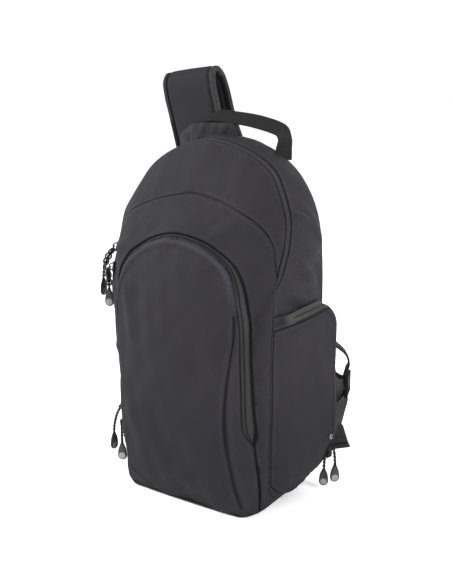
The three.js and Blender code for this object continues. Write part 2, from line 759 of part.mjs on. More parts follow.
// Anchor tab: sewn to the lower right corner of the back
function anchorBody() {
  const root = (z) => {
    const seam = backSeam.getPointAt(1 - leftParameter(backSeam, z));
    return seam.setY(seam.y + ANCHOR.behindSeam);
  };
  const high = [root(ANCHOR.rootHigh), new THREE.Vector3(ANCHOR_TIP.highX, ANCHOR.tipY, ANCHOR_TIP.highZ)];
  const low = [root(ANCHOR.rootLow), new THREE.Vector3(ANCHOR_TIP.lowX, ANCHOR.tipY, ANCHOR_TIP.lowZ)];
  const behind = (p) => p.clone().add(new THREE.Vector3(0, ANCHOR.thick, 0));
  return sheetBody([low, high], [low.map(behind), high.map(behind)]);
}
addPiece("anchor_tab", anchorBody(), NYLON);

// Joining of two closed geometries into one solid
const wasm = await Module();
wasm.setup();
function toManifold(geometry) {
  const bare = geometry.clone();
  bare.deleteAttribute("normal");
  bare.deleteAttribute("uv");
  const merged = mergeVertices(bare, 1e-4);
  return new wasm.Manifold(new wasm.Mesh({
    numProp: 3,
    vertProperties: new Float32Array(merged.attributes.position.array),
    triVerts: new Uint32Array(merged.index.array),
  }));
}
function joined(first, second) {
  const mesh = toManifold(first).add(toManifold(second)).getMesh();
  const geometry = new THREE.BufferGeometry();
  geometry.setAttribute("position", new THREE.BufferAttribute(mesh.vertProperties, 3));
  geometry.setIndex(new THREE.BufferAttribute(mesh.triVerts, 1));
  geometry.computeVertexNormals();
  return geometry;
}

// Zip slider: a tapered plate on the zip and a narrow bridge over it with a hole for the ring
const SLIDER_PLAN = table("along aside", [[-1, 0.6], [0.1, 1], [1, 0.8]]);
const BRIDGE_SIDE = table("along up", [[1, -0.1], [1, 0.45], [0.5, 1]]);
function sliderBody() {
  const half = SLIDER.length / 2;
  const wide = SLIDER.width / 2;
  const upper = SLIDER_PLAN.map(({ along, aside }) => new THREE.Vector2(along * half, aside * wide));
  const lower = upper.map((p) => new THREE.Vector2(p.x, -p.y)).reverse();
  const plan = new THREE.Shape([...upper, ...lower]);
  const plate = new THREE.ExtrudeGeometry(plan, { depth: SLIDER.thick, bevelEnabled: false });
  const { reach, height } = SLIDER;
  const rising = BRIDGE_SIDE.map(({ along, up }) => new THREE.Vector2(along * reach, up * height));
  const falling = rising.map((p) => new THREE.Vector2(-p.x, p.y)).reverse();
  const side = new THREE.Shape([...rising, ...falling]);
  const eye = new THREE.Path();
  eye.absarc(0, SLIDER.height / 2, SLIDER.hole, 0, 2 * Math.PI, true);
  side.holes.push(eye);
  const bridge = new THREE.ExtrudeGeometry(side, {
    depth: SLIDER.bridge,
    bevelEnabled: false,
    curveSegments: 5,
  });
  bridge.translate(0, 0, -SLIDER.bridge / 2);
  bridge.rotateX(Math.PI / 2);
  bridge.translate(0, 0, SLIDER.thick);
  return joined(plate, bridge);
}

// Pull tab: a flat teardrop, with its neck at the origin, hanging along -Z and facing +X
function tabBody() {
  const radius = TAB.width / 2 - TAB.bevel;
  const neck = TAB.neck / 2 - TAB.bevel;
  const drop = TAB.length - radius - TAB.bevel;
  const outline = new THREE.Shape();
  outline.moveTo(-neck, -TAB.bevel);
  outline.lineTo(-radius, -drop);
  outline.absarc(0, -drop, radius, Math.PI, 2 * Math.PI, false);
  outline.lineTo(neck, -TAB.bevel);
  outline.closePath();
  const geometry = new THREE.ExtrudeGeometry(outline, {
    depth: TAB.thick - 2 * TAB.bevel,
    bevelThickness: TAB.bevel,
    bevelSize: TAB.bevel,
    bevelSegments: 1,
    curveSegments: 10,
  });
  geometry.translate(0, 0, TAB.bevel - TAB.thick / 2);
  geometry.rotateX(Math.PI / 2);
  geometry.rotateZ(Math.PI / 2);
  return geometry;
}

function cordBody(from, to) {
  const lower = to.clone().setZ(lerp(from.z, to.z, CORD.bend));
  const curve = new THREE.QuadraticBezierCurve3(from, lower, to);
  const rings = [];
  for (let i = 0; i <= CORD.steps; i += 1) {
    const along = curve.getTangent(i / CORD.steps);
    const one = new THREE.Vector3(0, 1, 0).cross(along).normalize();
    const two = new THREE.Vector3().crossVectors(along, one);
    const ring = [];
    for (let k = 0; k < CORD.sides; k += 1) {
      const angle = (2 * Math.PI * k) / CORD.sides;
      const p = curve.getPoint(i / CORD.steps);
      p.addScaledVector(one, CORD.radius * Math.cos(angle));
      ring.push(p.addScaledVector(two, CORD.radius * Math.sin(angle)));
    }
    rings.push(ring);
  }
  return ringBody(rings);
}

// Where a slider sits: its foot, the way out of the cloth, and the way along the zip
const NEARLY_FLAT = 0.2;
function seamSeat(curve, one, other, height) {
  const t = leftParameter(curve, height);
  const foot = curve.getPointAt(t);
  const along = curve.getTangentAt(t);
  const out = new THREE.Vector3().addVectors(one(t), other(t)).negate();
  if (out.length() < NEARLY_FLAT) out.crossVectors(along, one(t));
  if (out.dot(inward(foot)) > 0) out.negate();
  out.addScaledVector(along, -out.dot(along)).normalize();
  return { foot: foot.addScaledVector(inward(foot), tapeDepth - 2 * GAP), along, out };
}
const ALONG_STEP = 0.02;
function sideSeat(height) {
  const places = zipRim.filter(([u]) => u === 1);
  const lifted = (place, s) => bandPoint(place, s, GAP + TAPE);
  const place = places.reduce((best, item) =>
    Math.abs(lifted(item, ZIP_SHARE).z - height) < Math.abs(lifted(best, ZIP_SHARE).z - height) ? item : best,
  );
  const above = [place[0], place[1] + ALONG_STEP];
  const along = lifted(above, ZIP_SHARE).sub(lifted(place, ZIP_SHARE)).normalize();
  const wide = lifted(place, 1).sub(lifted(place, 0)).normalize();
  const out = new THREE.Vector3().crossVectors(along, wide).normalize();
  if (out.dot(bandOut(sidePocketPoint(...place))) < 0) out.negate();
  return { foot: lifted(place, ZIP_SHARE).addScaledVector(out, GAP), along, out };
}
function sliderSeat(zip, height) {
  if (zip === "side") return sideSeat(height);
  const toCorner = (t) => across(frontZip, cornerSeam, t);
  const toPocket = (t) => across(frontZip, cornerSeam, t).negate();
  if (zip === "front") return seamSeat(frontZip, toCorner, toPocket, height);
  const toFront = (t) => across(cornerSeam, frontZip, t);
  const toBack = (t) => across(cornerSeam, backSeam, t);
  return seamSeat(cornerSeam, toFront, toBack, height);
}

// Zip pulls: slider, ring, cord and tab
for (const { name, zip, height, tabX, tabY, tabZ, turn } of PULLS) {
  const { foot, along, out } = sliderSeat(zip, height);
  const wide = new THREE.Vector3().crossVectors(out, along);
  const slider = addPiece(`${name}_slider`, sliderBody(), DARK_METAL);
  slider.quaternion.setFromRotationMatrix(new THREE.Matrix4().makeBasis(along, wide, out));
  slider.position.copy(foot);

  const eye = foot.clone().addScaledVector(out, SLIDER.thick + SLIDER.height / 2);
  const fall = new THREE.Vector3(0, 0, -1).addScaledVector(out, RING.swing);
  fall.addScaledVector(wide, -fall.dot(wide)).normalize();
  const ringGeometry = new THREE.TorusGeometry(RING.radius, RING.wire, 6, 14);
  const ring = addPiece(`${name}_ring`, ringGeometry, DARK_METAL);
  const ringFace = new THREE.Vector3().crossVectors(wide, fall);
  ring.quaternion.setFromRotationMatrix(new THREE.Matrix4().makeBasis(wide, fall, ringFace));
  ring.position.copy(eye).addScaledVector(fall, RING.radius);

  const tab = addPiece(`${name}_tab`, tabBody(), PULL_RUBBER);
  tab.rotation.z = THREE.MathUtils.degToRad(turn);
  tab.position.set(tabX, tabY, tabZ);

  const cordTop = eye.clone().addScaledVector(fall, 2 * RING.radius + RING.wire + GAP + CORD.radius / 2);
  const cordFoot = new THREE.Vector3(tabX, tabY, tabZ + GAP);
  addPiece(`${name}_cord`, cordBody(cordTop, cordFoot), WEBBING_CLOTH);
}

export default rucksack;
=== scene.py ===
"""A soft fishing rucksack with one padded sling strap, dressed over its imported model.

Sizes are millimetres in the part's own frame and become metres when a mesh is made.
+Z is up, the front faces -Y, and the side pocket is at +X.
"""
import math

import bpy
import numpy as np
from mathutils import Matrix, Vector
from mathutils.bvhtree import BVHTree


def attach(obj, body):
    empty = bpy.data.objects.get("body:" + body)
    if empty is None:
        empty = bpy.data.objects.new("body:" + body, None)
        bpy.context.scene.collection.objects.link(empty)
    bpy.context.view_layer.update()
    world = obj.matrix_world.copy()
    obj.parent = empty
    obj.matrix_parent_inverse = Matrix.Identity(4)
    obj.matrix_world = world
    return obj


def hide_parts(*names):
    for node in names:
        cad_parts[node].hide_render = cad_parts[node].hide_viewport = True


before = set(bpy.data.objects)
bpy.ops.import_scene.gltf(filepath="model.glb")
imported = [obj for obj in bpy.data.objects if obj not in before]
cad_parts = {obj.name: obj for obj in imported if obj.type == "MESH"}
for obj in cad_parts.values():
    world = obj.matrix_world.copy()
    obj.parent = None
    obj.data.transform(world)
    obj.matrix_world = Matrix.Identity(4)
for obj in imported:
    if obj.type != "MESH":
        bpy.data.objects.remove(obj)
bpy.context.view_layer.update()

MM = 0.001
PHOTO_SIZE = (452, 584)

# Camera, from the photograph's own lines
CAMERA_PLACE = (564.2, -806.6, 474.5)
CAMERA_AZIMUTH = 34.2
CAMERA_ELEVATION = 13.2
CAMERA_FOCUS_PX = 850
SENSOR = 36

# Cloth and body
WALL = 2
BACK_PAD = 9
GAP = 0.15
FOLD_GAP = 1
CORE_Y, CORE_LOW, CORE_HIGH = -10, 65, 305
SEAM_FOOT = 4
# Reach of the painted shade and highlight beside a sewn line; the palest painted highlight lies at twice this
# reach
SEAM_REACH = 12
BACK_FOOT_Y = 67.3
BACK_LEAN = 0.055
BACK_CROWN, BACK_CROWN_X = 4, 60
SIDE_BULGE = 5
BULGE_FULL = 55
SHELL_BULGE = 3
CROWN_TIP = 284
CROWN_BULGE = 3
POCKET_ROUND = 2.2
POCKET_ROLL = 3
POCKET_ROLL_LOW, POCKET_ROLL_HIGH = 230, 255
POCKET_SPINE = 235
CREASE_REACH = 0.95
# Heights between which the pocket's rolled rim, its gathers and the painted highlight on its top set in
POCKET_RIM_FROM, POCKET_GATHER_FROM, POCKET_HIGHLIGHT_FROM = (140, 262), (250, 295), (240, 285)
# Where the painted shade line round the pocket fades at the front zip's right foot
FOOT_FADE_LOW, FOOT_FADE_HIGH, FOOT_FADE_X = (84, 92), (104, 116), (0, 40)
BACK_CHANNEL_X, BACK_BORDER = 38, 12

# Zips: half of a slot, its tape and coil, and the heights between which each slot closes at its feet
ZIP_HALF = 5.5
MAIN_ZIP_FRONT, MAIN_ZIP_BACK = 3.2, 6.6
TAPE_LAP = 1.6
TAPE = 1.2
TAPE_DEPTH = 2.6
TAPE_SET = 1.5
# Width of the painted shade line along a slot's edge
LINE_WIDTH = 1.3
MAIN_ZIP_FOOT_LEFT = (247, 258)
MAIN_ZIP_FOOT_RIGHT = (264, 290)
FRONT_ZIP_FOOT_LEFT = (70, 82)
FRONT_ZIP_FOOT_RIGHT = (86, 110)
FRONT_ZIP_TOP = 3.2
FRONT_ZIP_TURN = (262, 306)
FRONT_ZIP_SHIFT = -1.0
FRONT_FOOT_SHIFT = 4.5
COIL_PITCH = 2.1
COIL_HALF = 1.9
COIL_SIDE = 2.2
COIL_HIGH = 0.9

# Side pocket
SIDE_LOW, SIDE_HIGH, SIDE_BACK = 35, 224, 46
SIDE_DEPTH, SIDE_RISE, SIDE_SAG, SIDE_HANG = 23, 12, 14, 6
SIDE_SEAM_INSET, SIDE_SEAM_CLEAR, SIDE_SLACK = 1.6, 0.9, 0.85
SIDE_CORNER_TOP, SIDE_CORNER_BOTTOM = 20, 21
SIDE_FULL, SIDE_FULL_LOW, SIDE_FULL_PEAK, SIDE_FULL_HIGH = 9.5, 35, 78, 165
BAND_START, BAND_LOW_START = -0.01, 0.04
BAND_FRONT, BAND_TOP_BACK, BAND_BACK, BAND_SEAT = 16.5, 9, 6, 2.3
BAND_CORE_LOW, BAND_CORE_HIGH = 85, 185
BAND_FRONT_COUNT = 36
GATHER_PITCH = 0.055
ZIP_SHARE, ZIP_SHARE_HALF = 0.32, 0.22
GUARD_TOP, GUARD_WIDE = 0.21, 0.135
# Points along the band's top, back and bottom, and the part of them that the zip takes
BAND_COUNTS = (180, 110, 50)
SIDE_ZIP_COUNTS, SIDE_ZIP_START, SIDE_ZIP_END, SIDE_ZIP_SINK = (160, 420, 40), 40, 540, 45
# Metal stop of the side zip: place on the pocket's face, distance over it, radius, wire
STOP_U, STOP_V, STOP_OUT, STOP_RADIUS, STOP_WIRE = 0.885, 0.25, 1.8, 2.6, 0.5
FLAP_HALF = 0.9
# Flap under the guard: x y z down its inner edge and down its outer edge
FLAP_INNER = [(134, 46, 66), (134, 43.5, 58), (134, 40, 50)]
FLAP_OUTER = [(134, 47.5, 66), (134, 52, 58.5), (134, 51.5, 48.5)]

# Webbing, lock and anchor
WEBBING_WIDTH, WEBBING_THICK, ADJUSTER_THICK, ADJUSTER_SPLIT = 25, 1.8, 2.5, 119
WEBBING_RIB_PITCH, WEBBING_RIB_HIGH = 2.4, 0.10
STRAP_END_ROW, END_COVER_THICK = 15.4, 0.7
# Darker tone of the strap's front with painted shade on its upper part, as a distance from a sewn line, and
# the heights between which it changes
STRAP_SHADE, STRAP_SHADE_Z = (1.2, 1.12), (440, 482)
# Shadow at the strap's root: height at its left and its right, where it changes, softness, last row
ROOT_SHADOW_Z, ROOT_SHADOW_X, ROOT_SOFTNESS, ROOT_ROWS = (409, 430), (-75, -45), 0.12, 5
# Binding round the strap's edges: its faces over the strap, its painted shadow at the root, and the rows past
# which painted shade darkens it on the strap's back layer
BINDING_WIDTH, BINDING_OUTER, BINDING_INNER, BINDING_END_ROW = 4.2, 0.9, 0.1, 14.7
BINDING_SHADOW_Z, BINDING_SOFTNESS, BINDING_SHADE_ROWS = 433, 0.15, (6.2, 7.4)
HANDLE_Y = 31
LOCK_X, LOCK_Y, LOCK_TURN = 135, 88, 20

# Pulls
SLIDER_LENGTH, SLIDER_WIDTH, SLIDER_THICK, SLIDER_HEIGHT = 13, 7.6, 2.8, 4.6
BRIDGE_HALF, BRIDGE_WIRE = 4.3, 0.85
# Slider plate from its underside to its top: share of its size, height
SLIDER_LEVELS = [(0.8, 0), (0.95, 0.25), (1, 0.9), (1, 1.9), (0.95, 2.5), (0.82, 2.8), (0.3, 2.85)]
RING_RADIUS, RING_WIRE, RING_SWING = 3.2, 1.0, 0.5
CORD_DIAMETER, CORD_TWIST = 1.9, 9
# Cord: how far its strands lie from their middle at the ring and below it, and its hang into the tab
CORD_APART, KNEE_SHARE, NECK_DROP = (1.6, 1.0), 0.45, 1.5
CHAIN_LINKS, LINK_LONG, LINK_WIDE, LINK_WIRE = 4, 4.3, 3.5, 1.25
TAB_LENGTH, TAB_WIDTH, TAB_NECK, TAB_THICK, TAB_ROUND = 22, 11.5, 4.2, 3.2, 0.9
# Rings of the tab: inset or radius, and height over its face
TAB_LEVELS = [(3.0, -0.75), (2.7, -0.7), (2.3, -0.1), (1.5, 0), (0.5, -0.25), (0.15, -0.7), (0, -1.2)]
TAB_FACE_LEVELS = [(1.3, -0.9), (1.3, 0.02), (1.55, 0.1)]
INLAY_LEVELS = [(4.1, -0.9), (4.1, 0.15), (3.8, 0.3), (2.0, 0.35)]

# Corner between front and side: x y z from the base to the middle of the top
CORNER_SEAM = [
    (93, -33, SEAM_FOOT), (100.5, -37, 42), (103.5, -42, 84), (107, -46, 142), (109, -50, 191),
    (112, -52, 235), (114.5, -52, 266), (116, -43, 289), (117, -33, 313), (115, -26.5, 337),
    (109, -21, 352), (100, -15.5, 369), (87, -10, 389), (72, -8, 401.5), (50, -7.5, 413),
    (26, -7, 421), (0, -7, 425),
]
# Edge of the back panel: x z
BACK_SEAM = [
    (92, SEAM_FOOT), (101, 44), (106, 85), (111.5, 145), (115, 205), (116.5, 255), (116, 295), (113.5, 325),
    (109, 345), (101.5, 363), (91.5, 379), (79, 393), (62, 405), (41, 415), (22, 421), (0, 424),
]
# Middle of the front pocket's zip, carried on to the base: x y z
FRONT_ZIP = [
    (91, -47, SEAM_FOOT), (93, -53, 39), (92, -59, 71), (90.5, -63.5, 99), (89.5, -66.5, 120),
    (89.5, -70, 182), (88.5, -72.5, 235), (86.5, -74.5, 253), (84, -74, 266), (80, -72.5, 277),
    (72, -71, 290), (58, -70, 301), (43, -71, 310), (25, -73.5, 317), (0, -76, 321),
]
# How far the front zip's slot reaches towards the corner: height, reach
FRONT_ZIP_REACH = [(80, 9.3), (115, 9.3), (150, 7.6), (190, 6.4), (235, 7.2), (262, 6.6), (306, 3.2)]
# Seam across the upper front: x y z
CROWN_SEAM = [
    (109.5, -44.5, 298), (107, -42.5, 311), (102, -43.5, 322), (96, -45, 331), (85, -48, 341),
    (69, -49, 349), (47, -46, 357), (29, -43.5, 361), (0, -41, 365),
]
# Edge of the front shell below the crown seam: height, distance from the corner seam
SHELL_EDGE = [
    (SEAM_FOOT, GAP), (42, GAP), (84, GAP), (142, GAP), (191, GAP), (233, GAP), (262, GAP),
    (282, MAIN_ZIP_FRONT),
]
# Front pocket at each height: z, y of the middle, x and y of the crease down each side
POCKET_ROWS = [
    (SEAM_FOOT, -67, 83, -63), (18, -75.5, 83, -70), (44, -86, 79, -77), (80, -93, 74.5, -83),
    (110, -96.5, 73, -87), (135, -98, 73, -88), (167, -98, 75, -86.5), (215, -96, 81, -82.5),
    (240, -94, 83.5, -80), (265, -91, 86, -78), (295, -86, 86, -76), (321, -79, 86, -75),
]
# Sling strap: x y z of its middle, width, thickness, lean of the width, yaw
STRAP = [
    (-55.5, 52.8, 385, 60, 7, 11, 0), (-60, 57, 403, 65, 8, 9, 0), (-66, 61, 422, 70, 9, 8, 0),
    (-74.5, 64, 450, 74, 9, 7, 0), (-82, 65, 476, 75, 9, 6, 0), (-86.5, 69, 492, 75, 9, 6, 0),
    (-88.5, 79, 499.5, 75, 9, 6, 0), (-87, 89, 493, 75, 9, 6, 0), (-83, 95, 474, 75, 9, 9, 0),
    (-73, 97, 437, 74, 9, 14, 0), (-53, 98, 389, 73, 9, 20, 0), (-22, 98, 330, 72, 9, 27, 0),
    (15, 98, 268, 70, 9, 34, 0), (50, 97, 208, 68, 9, 42, 0), (80, 94, 156, 60, 8, 54, 0),
    (101, 91, 128, 48, 7, 68, 3), (114, 89.5, 123, 42, 5.5, 78, 6), (126, 88.5, 125, 28, 4, 84, 8),
    (131.5, 87.8, 127, 24, 3.4, 86, 10),
]
# Cloth sewn over the strap's root and the handle's left foot: x y z along its top, and z of its foot
ROOT_CLOTH = [
    (-87, 50, 425, 405), (-74, 40, 430, 402), (-61, 30, 433.5, 404), (-39, 16.5, 440.3, 412),
    (-20, 16, 441.3, 416), (0, 16, 441.2, 418), (16.5, 16, 440.4, 418), (21, 16, 434.5, 418),
    (22, 16, 424, 417),
]
ROOT_SKEW = (-0.735, 1, 0)
# Grab handle: x z of its middle line, lift and sideways turn of its back edge over its width
HANDLE = [
    (73.5, 400, 0, 0.32), (73.8, 412, 0, 0.28), (75, 424, 0.1, 0.12), (70, 432.5, 0.45, 0),
    (42, 441.5, 0.55, 0), (2, 447, 0.55, 0), (-20, 448, 0.55, 0), (-35, 442.5, 0.35, 0),
    (-42, 428, 0.1, 0), (-44, 412, 0, 0),
]
# Webbing from the anchor tab through the lock: distance out from the lock's plane, z, turn about +Z
ADJUSTER = [
    (-10, 70, 12), (-9, 81.5, 5), (-8, 93, -3), (-6, 107, -8), (-4.6, 113, 6), (-3.8, 119, 20),
    (0, 124.2, 20), (1.0, 127.8, 20), (1.2, 130, 20), (1.0, 132.2, 20), (0, 135.8, 20),
    (-3.6, 140.5, 20), (-3.4, 147, 22), (0.5, 155, 26), (-3, 167.5, 34), (-14, 177.5, 34),
    (-26, 182.5, 34),
]
# Anchor tab: its height on the back seam at the root, and x z at the tip
ANCHOR_ROOT = (40, 95)
ANCHOR_TIP = ((142, 49.5), (131.5, 76.5))
ANCHOR_TIP_Y, ANCHOR_THICK, ANCHOR_BEHIND, ANCHOR_STITCH = 84.5, 3, 0.6, 6.5
# Outline of the base: x y
BASE_OUTLINE = [
    (0, -66.8), (28, -66.8), (58, -65.5), (82, -62.5), (90.6, -47), (92.8, -33), (92.5, 0), (92.2, 35),
    (91.8, 66.5), (60, 68.5), (22, 70), (0, 70),
]
# Base from the middle of its underside round its edge: inset, z
BASE_RINGS = [
    (60, 0.4), (30, 0.3), (12, 0.1), (6, 0), (3.2, 0.5), (1.4, 1.5), (0.4, 2.6), (0.2, 3.7), (8, 3.9),
]
# Zip pulls: name, zip, height of the slider, top of the tab, turn of the tab
PULLS = [
    ("main_zip_1", "main", 293, (-132.1, -49, 254.0), 6),
    ("main_zip_2", "main", 270, (-116.9, -56, 243.5), -64),
    ("front_zip_1", "front", 106, (-102, -72, 67), -5),
    ("front_zip_2", "front", 86, (-83.5, -78.5, 59.5), -66),
    ("side_zip_1", "side", 75, (138, 54.5, 37), -50),
    ("side_zip_2", "side", 52, (123, 55, 28), -62),
]
# Soft studio lights: name, place and target in metres, side in metres, watts
LIGHTS = [
    ("key", (-1.6, -1.1, 1.5), (0, 0, 0.2), 0.8, 75),
    ("fill", (1.85, -0.35, 1.1), (0, 0, 0.2), 0.9, 46),
    ("back", (0.4, 1.6, 1.6), (0, 0, 0.3), 1.0, 10),
]
WORLD_LIGHT = 1.06
FLOOR_REACH = 60.0

# Swells of each panel's cloth: height, wavelength, seed
GUSSET_RIPPLES = [(1.0, 75, 11), (0.5, 28, 12)]
SHELL_RIPPLES = [(0.7, 55, 21), (0.35, 22, 22)]
CROWN_RIPPLES = [(0.9, 70, 31), (0.4, 25, 32)]
POCKET_RIPPLES = [(1.4, 95, 41), (0.6, 34, 42)]
SIDE_RIPPLES = [(0.9, 70, 61), (0.4, 26, 62)]
# Gathers along each seam: reach, pitch, height
GUSSET_FRONT_GATHER, GUSSET_BACK_GATHER = (8, 11, 0.8), (9, 13, 0.6)
SHELL_ZIP_GATHER, SHELL_SEAM_GATHER = (6, 10, 0.6), (6, 12, 0.5)
CROWN_SEAM_GATHER, CROWN_ZIP_GATHER = (7, 12, 0.6), (6, 10, 0.6)
POCKET_GATHER = (11, 15, 1.1)
GUSSET_FOLD_GAIN, SHELL_FOLD_GAIN = 1.6, 1.7
# Where the gusset lies flat under the side pocket, each as the start and the end of a soft change
UNDER_POCKET_X, UNDER_POCKET_Y = (60, 90), (35, 50)
UNDER_POCKET_LOW, UNDER_POCKET_HIGH = (20, 40), (215, 235)
GUSSET_GATHER_FROM = (235, 260)
# Radius at which each panel's sewn edge turns in
GUSSET_TURN, PANEL_TURN, POCKET_TURN, BACK_TURN, SIDE_TURN = 2.2, 1.9, 2.0, 3.0, 1.6

UP = np.array([0.0, 0, 1])
ASIDE = np.array([1.0, 0, 0])
ALL_EDGES = ("first_row", "last_row", "first_column", "last_column")
LONG_EDGES = ("first_column", "last_column")



# Curves and small sums

def unit(v):
    return v / np.maximum(np.linalg.norm(v, axis=-1, keepdims=True), 1e-9)


def dot(a, b):
    return (a * b).sum(-1, keepdims=True)


def ease(x, low, high):
    share = np.clip((x - low) / (high - low), 0, 1)
    return share * share * (3 - 2 * share)


def mix(a, b, share):
    return a + (b - a) * share


def hump(x, middle, width):
    """Smooth rise to 1 round a value."""
    return np.exp(-((x - middle) / width) ** 2)


def signed_power(x, power):
    return np.sign(x) * np.abs(x) ** power


def ring_angles(count):
    return np.linspace(0, 2 * math.pi, count, endpoint=False)


def step_lengths(points):
    return np.linalg.norm(np.diff(points, axis=0), axis=1)


def run_along(points):
    """Distance of each point along a line of points."""
    return np.concatenate([[0], np.cumsum(step_lengths(points))])


class Curve:
    """Centripetal Catmull-Rom curve through points, read by its share of the whole length."""

    SAMPLES = 48

    def __init__(self, points):
        points = np.asarray(points, float)
        held = np.vstack([2 * points[0] - points[1], points, 2 * points[-1] - points[-2]])
        u = np.linspace(0, 1, self.SAMPLES, endpoint=False)[:, None]
        runs = [self.segment(held[i:i + 4], u) for i in range(len(points) - 1)]
        self.points = np.vstack([*runs, points[-1:]])
        run = run_along(self.points)
        self.share = run / run[-1]

    @staticmethod
    def segment(p, u):
        d0, d1, d2 = np.maximum(step_lengths(p) ** 0.5, 1e-4)
        start = (p[1] - p[0]) / d0 - (p[2] - p[0]) / (d0 + d1) + (p[2] - p[1]) / d1
        end = (p[2] - p[1]) / d1 - (p[3] - p[1]) / (d1 + d2) + (p[3] - p[2]) / d2
        eased = u * u * (3 - 2 * u)
        bend = start * d1 * u * (1 - u) ** 2 + end * d1 * u * u * (u - 1)
        return p[1] + (p[2] - p[1]) * eased + bend

    def read(self, keys, at):
        at = np.asarray(at, float)
        return np.stack([np.interp(at, keys, column) for column in self.points.T], -1)

    def at(self, t):
        return self.read(self.share, t)

    def by_row(self, row):
        return self.read(np.arange(len(self.points)) / self.SAMPLES, row)

    def along(self, t, step=0.002):
        t = np.asarray(t, float)
        return unit(self.at(np.clip(t + step, 0, 1)) - self.at(np.clip(t - step, 0, 1)))


def arch(rows):
    """Seam from the left foot over the top to the right foot: 0 and 1 are its feet, 0.5 its top."""
    right = np.asarray(rows, float)
    left = right[:-1] * (-1, 1, 1)
    return Curve(np.vstack([left, right[::-1]]))


def left_share(curve, z):
    t = np.linspace(0, 0.5, 1200)
    return np.interp(z, curve.at(t)[:, 2], t)


def smooth_column(keys, values):
    """Smooth value of one column of a table against another."""
    keys, values = np.asarray(keys, float), np.asarray(values, float)
    after = np.minimum(np.arange(len(keys)) + 1, len(keys) - 1)
    before = np.maximum(np.arange(len(keys)) - 1, 0)
    slopes = (values[after] - values[before]) / (keys[after] - keys[before])

    def read(x):
        x = np.clip(x, keys[0], keys[-1])
        i = np.clip(np.searchsorted(keys, x), 1, len(keys) - 1)
        span = keys[i] - keys[i - 1]
        u = (x - keys[i - 1]) / span
        bend = slopes[i - 1] * span * u * (1 - u) ** 2 + slopes[i] * span * u * u * (u - 1)
        return mix(values[i - 1], values[i], u * u * (3 - 2 * u)) + bend

    return read


def ripple(p, wavelength, seed, count=9):
    """Soft uneven swell between about -1 and 1, of a given wavelength in millimetres."""
    draws = np.random.default_rng(seed)
    total = 0
    for _ in range(count):
        way = unit(draws.normal(size=3))
        stretch = draws.uniform(0.7, 1.5)
        total = total + np.sin(p @ way * (2 * math.pi / (wavelength * stretch)) + draws.uniform(0, 6.3))
    return total / math.sqrt(count)


def ripples(p, rows):
    return sum(height * ripple(p, wavelength, seed) for height, wavelength, seed in rows)


corner_seam = arch(CORNER_SEAM)
back_seam = arch([(x, BACK_FOOT_Y - BACK_LEAN * z, z) for x, z in BACK_SEAM])
front_zip = arch(FRONT_ZIP)


def across(curve, other, t):
    """Unit vector from one seam towards another, square to the first."""
    start, along = curve.at(t), curve.along(t)
    way = other.at(t) - start
    return unit(way - along * dot(way, along))


def to_corner(t):
    return across(front_zip, corner_seam, t)


def to_front(t):
    return across(corner_seam, front_zip, t)


def to_back(t):
    return across(corner_seam, back_seam, t)


def inward(p):
    core = np.stack([0 * p[..., 0], 0 * p[..., 0] + CORE_Y, np.clip(p[..., 2], CORE_LOW, CORE_HIGH)], -1)
    return unit(core - p)


def bulged(a, b, v, bulge):
    p = mix(a, b, v)
    swell = bulge * ease(p[..., 2:], SEAM_FOOT, BULGE_FULL)
    return p - inward(p) * swell * 4 * v * (1 - v)


# Grids of points and meshes

def grid_normals(grid, outward):
    n = unit(np.cross(np.gradient(grid, axis=0), np.gradient(grid, axis=1)))
    return n * np.where(dot(n, outward) < 0, -1, 1)


def lengths(grid, axis):
    steps = np.linalg.norm(np.diff(grid, axis=axis), axis=-1)
    pad = np.zeros_like(np.take(steps, [0], axis))
    return np.cumsum(np.concatenate([pad, steps], axis), axis)


def from_long_edges(grid):
    """Distances of each point from the first and from the last column."""
    run = lengths(grid, 1)
    return run, run[:, -1:] - run


def edge_distance(grid, sides):
    """Distance of each point from the nearest of the named edges: first or last row or column."""
    rows = lengths(grid, 0)
    first, last = from_long_edges(grid)
    found = {"first_row": rows, "last_row": rows[-1:] - rows, "first_column": first, "last_column": last}
    return np.min([found[side] for side in sides], axis=0)


def turned_in(distance, radius):
    """How far cloth drops at a distance from a sewn edge, where it turns in round a radius."""
    past = np.clip(radius - distance, 0, radius)
    return radius - np.sqrt(radius ** 2 - past ** 2)


def close_to_ends(count, sharp=2.2):
    """Shares from 0 to 1 that lie closer together near both ends."""
    u = np.linspace(-1, 1, count)
    return 0.5 + 0.5 * np.tanh(sharp * u) / math.tanh(sharp)


def put_in_scene(thing):
    bpy.context.scene.collection.objects.link(thing)
    return thing


def make_mesh(name, points, faces, uv, edge=None):
    if edge is None:
        edge = np.full(len(points), SEAM_REACH)
    mesh = bpy.data.meshes.new(name)
    mesh.from_pydata((np.asarray(points) * MM).tolist(), [], [list(map(int, face)) for face in faces])
    mesh.polygons.foreach_set("use_smooth", [True] * len(mesh.polygons))
    layer = mesh.uv_layers.new(name="UVMap")
    corner = np.zeros(len(mesh.loops), int)
    mesh.loops.foreach_get("vertex_index", corner)
    layer.data.foreach_set("uv", (np.asarray(uv) * MM)[corner].astype(np.float32).ravel())
    # The edge attribute carries painted shade and painted highlight: dark at a sewn line, plain at the seam's
    # reach, paler past it
    near = np.clip(edge / (2 * SEAM_REACH), 0, 1).astype(np.float32)
    mesh.attributes.new("edge", "FLOAT", "POINT").data.foreach_set("value", near.ravel())
    mesh.validate()
    return put_in_scene(bpy.data.objects.new(name, mesh))


def dress(piece, material, slot, *nodes):
    """Gives a piece its material and its body, and hides the model's nodes that it stands for."""
    piece.data.materials.append(material)
    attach(piece, "root")
    if nodes:
        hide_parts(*nodes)
    return piece


